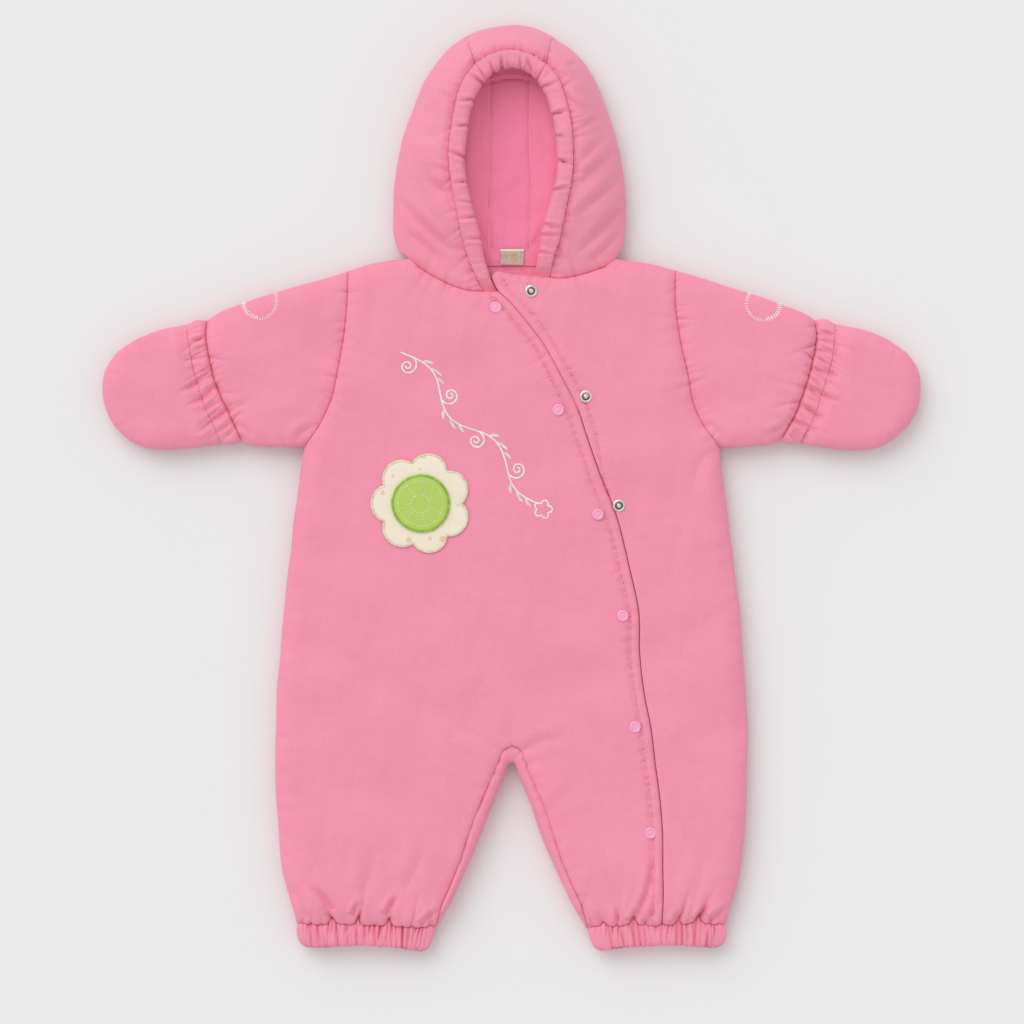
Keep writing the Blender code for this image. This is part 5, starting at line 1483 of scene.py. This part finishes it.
# %% Lines laid on the cloth
ABOVE_ALL = Vector((0, 0, 0.2))  # in metres, as all that is looked up on finished pieces


def tops(*pieces):
    """Search trees of pieces, to find their top over a plan point."""
    trees = []
    for piece in pieces:
        bm = bmesh.new()
        bm.from_mesh(piece.data)
        trees.append(BVHTree.FromBMesh(bm))
        bm.free()
    return trees


def top_at(trees, x, y):
    """The highest point over a plan point, and which way the cloth faces there."""
    hits = [tree.ray_cast(Vector((x / 1000, y / 1000, 0)) + ABOVE_ALL, -ABOVE_ALL)[:2] for tree in trees]
    return max([hit for hit in hits if hit[0] is not None], key=lambda hit: hit[0].z, default=(None, None))


def laid(line, trees, lift=0.1, step=0.8, reach=None, eases=True):
    """Runs of (place, facing, reach) where a plan line crosses the cloth. A run ends where the cloth does."""
    line = np.asarray(line, float)
    line = cut_at(line, np.linspace(0, 1, max(3, int(walked(line)[-1] / step))))
    runs = [[]]
    for (x, y), share in zip(settled(line) if eases else line, shares_of(line)):
        spot, facing = top_at(trees, x, y)
        if spot is None:
            runs.append([])
            continue
        runs[-1].append((spot + facing * lift / 1000, facing, reach(share) if reach else 1.0))
    return [run for run in runs if len(run) > 2]


def all_laid(lines, trees, lift=0.1):
    return sum((laid(line, trees, lift) for line in lines), [])


def stitched(name, runs, thread, spacing, length, thickness, across=False, uneven=0.1, seed=0, closed=False):
    """One piece with a stroke of thread at every step along the runs. Sizes are in millimetres."""
    spots, edges, facings, reaches = [], [], [], []
    for run in runs:
        first = len(spots)
        spots += [spot for spot, _, _ in run]
        raw = np.array([tuple(facing) for _, facing, _ in run])
        padded = np.concatenate([raw[:1].repeat(3, 0), raw, raw[-1:].repeat(3, 0)])
        calm = sum(padded[k:k + len(raw)] for k in range(7))
        facings += (calm / np.linalg.norm(calm, axis=1)[:, None]).tolist()
        reaches += [reach for _, _, reach in run]
        edges += [(i, i + 1) for i in range(first, len(spots) - 1)]
        if closed:
            edges.append((len(spots) - 1, first))
    mesh = bpy.data.meshes.new(name + "_line")
    mesh.from_pydata([tuple(spot) for spot in spots], edges, [])
    mesh.attributes.new("up", "FLOAT_VECTOR", "POINT").data.foreach_set("vector", np.ravel(facings))
    mesh.attributes.new("reach", "FLOAT", "POINT").data.foreach_set("value", np.array(reaches, float))
    guide = linked(name + "_line", mesh)
    modifier = guide.modifiers.new("strokes", "NODES")
    modifier.node_group = strokes
    values = {"Spacing": spacing / 1000, "Length": length / 1000, "Thickness": thickness / 1000,
              "Turn": math.pi / 2 if across else 0.0, "Unevenness": uneven, "Seed": seed, "Thread": thread}
    for socket, value in values.items():
        modifier[stroke_sockets[socket]] = value
    evaluated = guide.evaluated_get(bpy.context.evaluated_depsgraph_get())
    made = linked(name, bpy.data.meshes.new_from_object(evaluated))
    bpy.data.objects.remove(guide)
    print(f"{name}: {len(made.data.polygons)} faces")
    return made


# %% [markdown]
# ## Rows of stitching
# The topstitching beside the closure is a long straight stitch in the cloth's own pink. So are the row
# that holds the hood's casing, the crown seams, the lining's seams and the rows of the wrist bands.

# %% The suit's own stitching
fronts = tops(body["front_right"], body["front_left"])
hood_tops = tops(*[body[name] for name in ("hood_side_right", "hood_side_left", "hood_centre",
                                           "hood_edge_right", "hood_edge_left", "hood_edge_top")])
lining_tops = tops(*linings.values())
arm_tops = tops(*[body[part + name] for part in ("wrist_band_", "mitten_back_") for name in SIDES.values()])
rim_rows = [beside(rim_lines[-1][6:], 0.6), beside(rim_lines[1][10:], -0.6), beside(rim_top, 0.6)]
crown_rows = [beside(crown_seams[side], by) for side in SIDES for by in (-1.4, 1.4)]
strip_rows = [np.array([(HOOD_X + side * 17.4, 188), (HOOD_X + side * 17.4, 328)]) for side in SIDES]
band_rows = [(beside(smooth(MITTEN_SEAM), 1.2) * (side, 1))[3:-3] for side in SIDES]
closure_rows = [right_topstitch, left_topstitch]
closure_stitching = stitched("closure_topstitching", all_laid(closure_rows, fronts, 0.25), pink_thread,
                             2.2, 1.45, 0.62, uneven=0.08, seed=1)
hood_stitching = stitched("hood_stitching", all_laid(rim_rows + crown_rows, hood_tops, 0.2), pink_thread,
                          2.2, 1.35, 0.78, uneven=0.08, seed=2)
lining_stitching = stitched("lining_stitching", all_laid(strip_rows, lining_tops, 0.25), lining_thread,
                            2.2, 1.3, 0.9, uneven=0.08, seed=3)
gather_stitching = stitched("gather_stitching", all_laid(band_rows, arm_tops, 0.35), pink_thread,
                            2.2, 1.35, 0.7, seed=4)

# %% [markdown]
# ## Embroidery
# On the chest the suit carries a line of white embroidery. Here it is a plain leafy scroll: a waving
# stem worked in close short strokes across its line, curled tendrils at its bends, and leaves whose
# strokes lengthen and shorten again. Each sleeve has a ring of separate white strokes.

# %% The scroll on the chest
SCROLL_START, SCROLL_END = np.array([-83.0, 106.0]), np.array([22.0, -12.0])
SCROLL_ARCHES = 4
SCROLL_SWING = 7.5
TENDRIL_RADIUS = 8.2
scroll_step = SCROLL_END - SCROLL_START
scroll_side = np.array([-scroll_step[1], scroll_step[0]]) / np.linalg.norm(scroll_step)


def scroll_at(t):
    """The stem swings gently from side to side, less towards its ends."""
    swing = SCROLL_SWING * (0.72 + 0.28 * math.sin(math.pi * t)) * math.sin(math.pi * SCROLL_ARCHES * t)
    return SCROLL_START + t * scroll_step + scroll_side * swing


def heading_at(t):
    step = scroll_at(t + 0.005) - scroll_at(t - 0.005)
    return math.atan2(step[1], step[0])


def curl(start, heading, radius, turn, turns=1.5, count=70):
    """A tendril that leaves a point and winds into itself."""
    points, spot, way = [], np.array(start, float), heading
    for k in range(count):
        points.append(spot.copy())
        tight = radius * (1 - 0.82 * k / count)
        step = math.tau * turns * radius * 0.55 / count
        way += turn * step / tight
        spot += step * np.array([math.cos(way), math.sin(way)])
    return np.array(points)


def leaf(start, heading, length, bend):
    """The middle line of a leaf."""
    way = heading + bend * np.linspace(0, 1, 12)
    return start + np.cumsum(np.stack([np.cos(way), np.sin(way)], axis=1) * length / 12, axis=0)


chest = tops(body["front_right"])
scroll_runs = laid(np.array([scroll_at(t) for t in np.linspace(-0.03, 1, 200)]), chest)
leaf_runs = []
for k in range(SCROLL_ARCHES):
    out = 1 if k % 2 == 0 else -1
    peel = (k + 0.12) / SCROLL_ARCHES
    scroll_runs += laid(curl(scroll_at(peel), heading_at(peel) - out * 0.25, TENDRIL_RADIUS, -out), chest)
    for t, way, length in ((0.3, 0.75, 9), (0.5, 0.55, 11), (0.72, 0.8, 8.5)):
        t = (k + t) / SCROLL_ARCHES
        line = leaf(scroll_at(t), heading_at(t) + out * way, length, -out * 0.6)
        leaf_runs += laid(line, chest, reach=lambda share: 0.25 + math.sin(math.pi * share) ** 0.8)
blossom = np.array([SCROLL_END + (3.5, -4.5) + 7.4 * (0.62 + 0.38 * abs(math.cos(2.5 * a))) * np.array(
    [math.cos(a), math.sin(a)]) for a in np.linspace(0, math.tau, 120)])
scroll_runs += laid(blossom, chest)
scroll_stem = stitched("embroidered_scroll", scroll_runs, white_thread, 0.62, 1.75, 0.86, True, 0.16, 5)
scroll_leaves = stitched("embroidered_leaves", leaf_runs, white_thread, 0.6, 2.7, 0.6, True, 0.1, 6)

# %% The rings on the sleeves
ring_runs = []
for side, name, centre in ((-1, "right", (-200.9, 148.9)), (1, "left", (201.5, 147.6))):
    sleeve_top = tops(body["sleeve_" + name])
    for radius, first, last in ((13.8, 0.95, 2.2), (12.4, 1.0, 1.45)):
        turns = np.linspace(math.pi * first, math.pi * last, 90)
        ring = centre + radius * np.stack([-side * np.cos(turns), np.sin(turns)], axis=1)
        ring_runs += laid(ring, sleeve_top, reach=lambda share: 0.9 + 0.3 * abs(share - 0.5))
sleeve_rings = stitched("sleeve_rings", ring_runs, white_thread, 2.0, 3.6, 0.8, True, 0.14, 7)

# %% [markdown]
# ## The applique
# A flower cut from printed cotton with a round felt disc on it, both edged in satin stitch: close
# strokes laid across the raw edge. The plates follow the padding below them and puff a little between
# their edge and the stitching, as thin cloth does when it is stitched down on something soft.

# %% Cotton and felt
SPOT_CELL, SPOT_SIZE = 9.5, 0.27
cotton = Finish("cream_cotton_finish", Sheen_Weight=0.15, Specular_IOR_Level=0.25)
one_per_cell = {"Vector": cotton.place, "Scale": 1000 / SPOT_CELL, "Randomness": 0.8}
spot_distance, spot_pick = [cotton.node("ShaderNodeTexVoronoi", {}, one_per_cell, output)
                            for output in ("Distance", "Color")]
spots = spot_distance + (cotton.noise(2.5) - 0.5) * 0.16 < SPOT_SIZE
red = cotton.node("ShaderNodeSeparateColor", {}, {"Color": spot_pick})
cotton_weave = cotton.weave(0.5, 0.5)
plain = cotton.mix(cotton.noise(0.7), (0.91, 0.83, 0.68), (0.84, 0.74, 0.58))
printed = cotton.mix(red, (0.90, 0.42, 0.42), (0.55, 0.72, 0.26))
cream_cotton = cotton.wear(Base_Color=cotton.mix(spots * 0.75, plain, printed),
                           Roughness=0.82 + (cotton_weave - 0.5) * 0.1,
                           Normal=cotton.bump(cotton_weave, 0.08, 0.7))

felt = Finish("green_felt_finish", Sheen_Weight=0.35, Specular_IOR_Level=0.2)
fluff, fibre = felt.noise(2.2, 4), felt.noise(0.4, 3)
green_felt = felt.wear(Base_Color=felt.mix(fluff * 0.6 + fibre * 0.4, (0.54, 0.70, 0.17), (0.40, 0.56, 0.09)),
                       Roughness=0.88 + (fibre - 0.5) * 0.1, Normal=felt.bump(fibre * 0.6 + fluff, 0.3, 0.7))

# %% Flower and disc
FLOWER_CENTRE = (-72.0, -12.0)
FLOWER_REACH = 40.0
FLOWER_PETALS = 7
FLOWER_DISC = 23.0
PETAL_DIP = 0.2  # how far the edge falls in between two petals, as a share


def petal_edge(turn):
    return FLOWER_REACH * (1 - PETAL_DIP + PETAL_DIP * abs(math.sin(turn * FLOWER_PETALS / 2)) ** 0.7)


def disc_edge(turn):
    return FLOWER_DISC


def plate_point(edge, share, turn):
    far = share * edge(turn)
    return np.array([FLOWER_CENTRE[0] + far * math.cos(turn), FLOWER_CENTRE[1] + far * math.sin(turn)])


def applique(name, edge, turns, trees, thick, puff, finish):
    """A round cut plate that follows the cloth below it. edge gives how far out it ends at each turn."""
    rings = np.concatenate([np.linspace(0.06, 0.9, 16), [0.94, 0.97, 0.99, 1.0]])
    angles = np.linspace(0, math.tau, turns, endpoint=False)
    following = [(i, (i + 1) % turns) for i in range(turns)]
    bm = bmesh.new()

    def vert(share, turn, swell):
        x, y = settled(plate_point(edge, share, turn))
        return bm.verts.new((x, y, top_at(trees, x, y)[0].z * 1000 + GAP + swell))

    rims = []
    for upper in (0, 1):
        swells_at = [upper * (puff * rounded((1 - share) * 5) + thick) for share in rings]
        loops = [[vert(share, turn, swell) for turn in angles] for share, swell in zip(rings, swells_at)]
        middle = vert(0, 0, upper * (thick + puff))
        for i, j in following:
            bm.faces.new([middle, loops[0][i], loops[0][j]])
            for inner, outer in zip(loops[:-1], loops[1:]):
                bm.faces.new([inner[i], outer[i], outer[j], inner[j]])
        rims.append(loops[-1])
    for i, j in following:
        bm.faces.new([rims[0][i], rims[0][j], rims[1][j], rims[1][i]])
    return to_object(bm, name, finish, plan_settles=False)


def outline_of(edge, share):
    turns = np.linspace(0, math.tau, 240, endpoint=False)
    return np.array([plate_point(edge, share, turn) for turn in turns])


petals = applique("cotton_flower", petal_edge, 210, chest, 0.7, 0.6, cream_cotton)
disc = applique("felt_disc", disc_edge, 96, tops(petals), 0.8, 0.7, green_felt)
report(petals, disc)
petal_tops, disc_tops = tops(petals, body["front_right"]), tops(disc, petals)
petal_edging = stitched("petal_edging", laid(outline_of(petal_edge, 0.985), petal_tops, 0.15), cream_thread,
                        0.55, 2.3, 0.6, True, 0.08, 8, True)
disc_edging = stitched("disc_edging", laid(outline_of(disc_edge, 0.97), disc_tops, 0.15), lime_thread,
                       0.55, 2.6, 0.62, True, 0.08, 9, True)
quilt_lines = [outline_of(lambda turn: radius, 1) for radius in (7.5, 18)]
for k in range(FLOWER_PETALS):
    a = math.tau * (k + 0.5) / FLOWER_PETALS
    way = np.array([math.cos(a), math.sin(a)])
    quilt_lines.append(np.array(FLOWER_CENTRE) + np.array([7.5 * way, 12 * way + 1.2 * way[::-1], 18 * way]))
disc_quilting = stitched("disc_quilting", all_laid(quilt_lines, disc_tops), white_thread, 2.3, 1.5, 0.5,
                         uneven=0.12, seed=10)

# %% [markdown]
# ## Snaps and the label
# Press studs close the front: domed plastic caps on the right edge, and steel halves on the left where
# it shows. They are turned shapes, set on the cloth and tilted with it. The label is a scrap of woven
# tape, caught in the neck seam, and it is left blank.

# %% Their finishes
plastic = Finish("snap_plastic_finish", Coat_Weight=0.5, Coat_Roughness=0.18, Specular_IOR_Level=0.5)
scuffs, cloudy = plastic.noise(1.2, 4), plastic.noise(3.0)
snap_plastic = plastic.wear(Base_Color=plastic.mix(cloudy, (0.95, 0.40, 0.60), (0.90, 0.33, 0.53)),
                            Roughness=0.28 + scuffs * 0.14, Normal=plastic.bump(scuffs, 0.03, 0.3))

metal = Finish("snap_steel_finish", Metallic=1.0)
brushed = metal.noise(0.35, 3)
# The groove round the stud's boss is painted near black: painted shade standing in for the shadow inside the
# groove.
painted_groove_shade = metal.node("ShaderNodeAttribute", {"attribute_name": "painted_groove_shade"}, output=2)
steel = metal.mix(brushed, (0.90, 0.88, 0.84), (0.62, 0.60, 0.56))
snap_steel = metal.wear(Base_Color=metal.mix(painted_groove_shade, steel, (0.10, 0.085, 0.08)),
                        Roughness=0.22 + brushed * 0.14, Normal=metal.bump(brushed, 0.02, 0.4))

LABEL_X, LABEL_UP, LABEL_THICK = (-9, 9.2), (178.9, 191.3), 0.7
tape = Finish("label_tape_finish", Sheen_Weight=0.15, Specular_IOR_Level=0.3)
ribs, slubs, soiled = tape.weave(0.9, 0.7), tape.noise(1.2, 3), tape.noise(4.0)
across_tape = tape.node("ShaderNodeSeparateXYZ", {}, {"Vector": tape.place}, output="Y")
mottled = (slubs - 0.5) * 1.7 + (soiled - 0.5) * 1.2 + ribs * 0.4 + 0.1
faded = tape.mix(mottled, (0.62, 0.50, 0.40), (0.36, 0.24, 0.18))
selvedge = (across_tape - (LABEL_UP[1] - 1.7) / 1000) * 1800
label_tape = tape.wear(Base_Color=tape.mix(selvedge, faded, (0.86, 0.80, 0.70)),
                       Roughness=0.75 + (ribs - 0.5) * 0.12, Normal=tape.bump(ribs, 0.1, 0.8))


# %% Turned fittings
FITTING_FEELS = 3.5  # how far out the cloth counts for the tilt of a fitting
LEVEL = 0.0008  # and how level with its middle, in metres


def turned(name, profile, centre, trees, sunk, finish, sides=40):
    """A round fitting spun from (radius, height) pairs and set on the cloth, tilted as the cloth is."""
    x, y = settled(np.array(centre, float))
    spot, facing = top_at(trees, x, y)
    for a in np.linspace(0, math.tau, 12, endpoint=False):
        beyond, way = top_at(trees, x + FITTING_FEELS * math.cos(a), y + FITTING_FEELS * math.sin(a))
        if abs(beyond.z - spot.z) < LEVEL:
            facing = facing + way
    tilt = (facing.normalized() + Vector((0, 0, 1.0))).normalized()
    bm = bmesh.new()
    shade = bm.verts.layers.float.new("painted_groove_shade")
    ring = [bm.verts.new((radius, 0, z)) for radius, z in smooth(profile, 4)]
    for vert in ring:
        # Where the painted shade of the groove goes: 1 at the groove's radius on the top, 0 elsewhere.
        vert[shade] = math.exp(-((vert.co.x - 2.5) / 0.6) ** 2) if vert.co.z > 0.3 else 0.0
    edges = [bm.edges.new(pair) for pair in zip(ring[:-1], ring[1:])]
    bmesh.ops.spin(bm, geom=ring + edges, cent=(0, 0, 0), axis=(0, 0, 1), angle=math.tau, steps=sides,
                   use_merge=True)
    bmesh.ops.remove_doubles(bm, verts=bm.verts, dist=WELD)
    turned_up = tilt.to_track_quat("Z", "Y").to_matrix().to_4x4()
    bm.transform(Matrix.Translation(spot * 1000 - tilt * sunk) @ turned_up)
    return to_object(bm, name, finish, plan_settles=False)


CAP_PROFILE = [(0, 0), (4.4, 0), (4.75, 0.5), (4.6, 1.2), (4.1, 1.75), (3.5, 1.95), (2.9, 1.7), (2.5, 1.4),
               (2.0, 1.45), (1.0, 1.6), (0, 1.65)]
STUD_PROFILE = [(0, 0), (4.5, 0), (4.9, 0.4), (4.75, 0.95), (4.2, 1.2), (3.5, 1.15), (3.1, 0.7), (2.7, 0.45),
                (2.1, 0.5), (1.8, 1.2), (1.75, 2.3), (1.3, 2.75), (0, 2.8)]
snaps = {f"snap_cap_{n}": turned(f"domed_snap_cap_{n}", CAP_PROFILE, centre, fronts, 0.25, snap_plastic)
         for n, centre in enumerate(SNAP_CAPS, 1)}
snaps |= {f"snap_stud_{n}": turned(f"steel_snap_stud_{n}", STUD_PROFILE, centre, fronts, 0.1, snap_steel)
          for n, centre in enumerate(SNAP_STUDS, 1)}
report(snaps["snap_cap_1"], snaps["snap_stud_1"])

# %% The neck label
def neck_label():
    """Blank woven tape, a little curled where its free end lifts off the lining."""
    low, high = LABEL_UP
    plan = np.stack(np.meshgrid(np.linspace(*LABEL_X, 34), np.linspace(low, high, 26)), axis=-1)
    rise = (plan[..., 1] - low) / (high - low)
    plan[..., 0] += 0.5 * np.sin(rise * 2.2) + 0.5 * rise * np.sin(plan[..., 0])
    base = np.array([[top_at(lining_tops, x, max(y, low + 4))[0].z * 1000 for x, y in row] for row in plan])
    base = base.max() * 0.4 + base * 0.6 + GAP
    z = base + 1.1 * rise ** 2 * (0.6 + 0.5 * np.cos(plan[..., 0] / 4.2)) + 0.2
    solid = Solid()
    for height in (z, z + LABEL_THICK):
        solid.sheet(plan, height)
    for edge in ((0, slice(None)), (-1, slice(None)), (slice(None), 0), (slice(None), -1)):
        solid.between(plan[edge], z[edge], z[edge] + LABEL_THICK)
    return solid.finish("woven_neck_label", label_tape, plan_settles=False)


label = neck_label()
report(label)
label_row = laid([(-1.2, 179.5), (1.4, 179.5)], tops(label), 0.1, 0.5, eases=False)
label_stitching = stitched("label_stitching", label_row, pink_thread, 1.6, 1.2, 0.45, seed=11)

# %% [markdown]
# ## Fitting the pieces to the frame
# Each piece now goes under the body that it moves with, and the solids that it stands for are hidden.
# A garment that lies flat has no joint, so everything moves with the one body.


# %% What every piece stands for
def fit(piece, slot, *nodes):
    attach(piece, "root")
    if nodes:
        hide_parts(*nodes)
    return piece


for node, piece in body.items():
    fit(piece, "padded_cloth", node)
    0.35 if "cuff" in node or "band" in node else 0.5
for node, piece in linings.items():
    fit(piece, "lining_cloth", node)
fit(petals, "cream_cotton", "flower_petals")
fit(disc, "green_felt", "flower_disc")
fit(label, "label_tape", "neck_label")
for node, piece in snaps.items():
    fit(piece, "snap_plastic" if "cap" in node else "snap_steel", node)
for piece in (closure_stitching, hood_stitching, gather_stitching):
    fit(piece, "padded_cloth")
for piece in (lining_stitching, label_stitching):
    fit(piece, "lining_cloth")
for piece in (scroll_stem, scroll_leaves, sleeve_rings, petal_edging, disc_quilting):
    fit(piece, "cream_cotton")
fit(disc_edging, "green_felt")

# %% [markdown]
# ## Floor, light and camera
# The suit is seen from straight above, lying on a pale table. The light is broad and soft and comes
# from beyond the hood and a little from its left, so the relief of the padding shows as slow gradients
# and the shadows stay short.

# %% The floor
table_finish = Finish("pale_table_finish", Specular_IOR_Level=0.2)
dust = table_finish.noise(60.0, 3)
pale = table_finish.wear(Base_Color=table_finish.mix(dust, (0.825, 0.825, 0.825), (0.818, 0.818, 0.818)),
                         Roughness=0.9 + dust * 0.05)
bpy.ops.mesh.primitive_plane_add(size=12, location=(0, 0, -0.0004))
floor = bpy.context.object
floor.name = "pale_table"
floor.data.materials.append(pale)

# %% The light
SKY_STRENGTH = 0.75
WINDOW_STRENGTH, WINDOW_DEGREES, WINDOW_PLACE = 1.13, 50, Vector((-1.3, 2.0, 2.3))
world = bpy.data.worlds.new("studio")
world.use_nodes = True
background = world.node_tree.nodes["Background"].inputs
background["Color"].default_value, background["Strength"].default_value = (1, 1, 1, 1), SKY_STRENGTH
bpy.context.scene.world = world

# Parallel light from a wide patch of sky, so its shadows are soft and it falls evenly.
window = bpy.data.lights.new("window", "SUN")
window.energy, window.angle = WINDOW_STRENGTH, math.radians(WINDOW_DEGREES)
linked("window", window).rotation_euler = (-WINDOW_PLACE).to_track_quat("-Z", "Y").to_euler()

# %% The camera
CAMERA_LENS = 150.0
SENSOR_WIDTH = 36.0
VIEW_WIDTH = 0.8192
VIEW_HEIGHT = 0.014  # height of the plane that fills the view's width
VIEW_MIDDLE = (0.0004, -0.0188)
lens = bpy.data.cameras.new("camera")
lens.lens, lens.sensor_width = CAMERA_LENS, SENSOR_WIDTH
camera = linked("camera", lens)
camera.location = (*VIEW_MIDDLE, VIEW_HEIGHT + VIEW_WIDTH * CAMERA_LENS / SENSOR_WIDTH)
bpy.context.scene.camera = camera
bpy.context.scene.view_settings.view_transform = "Standard"
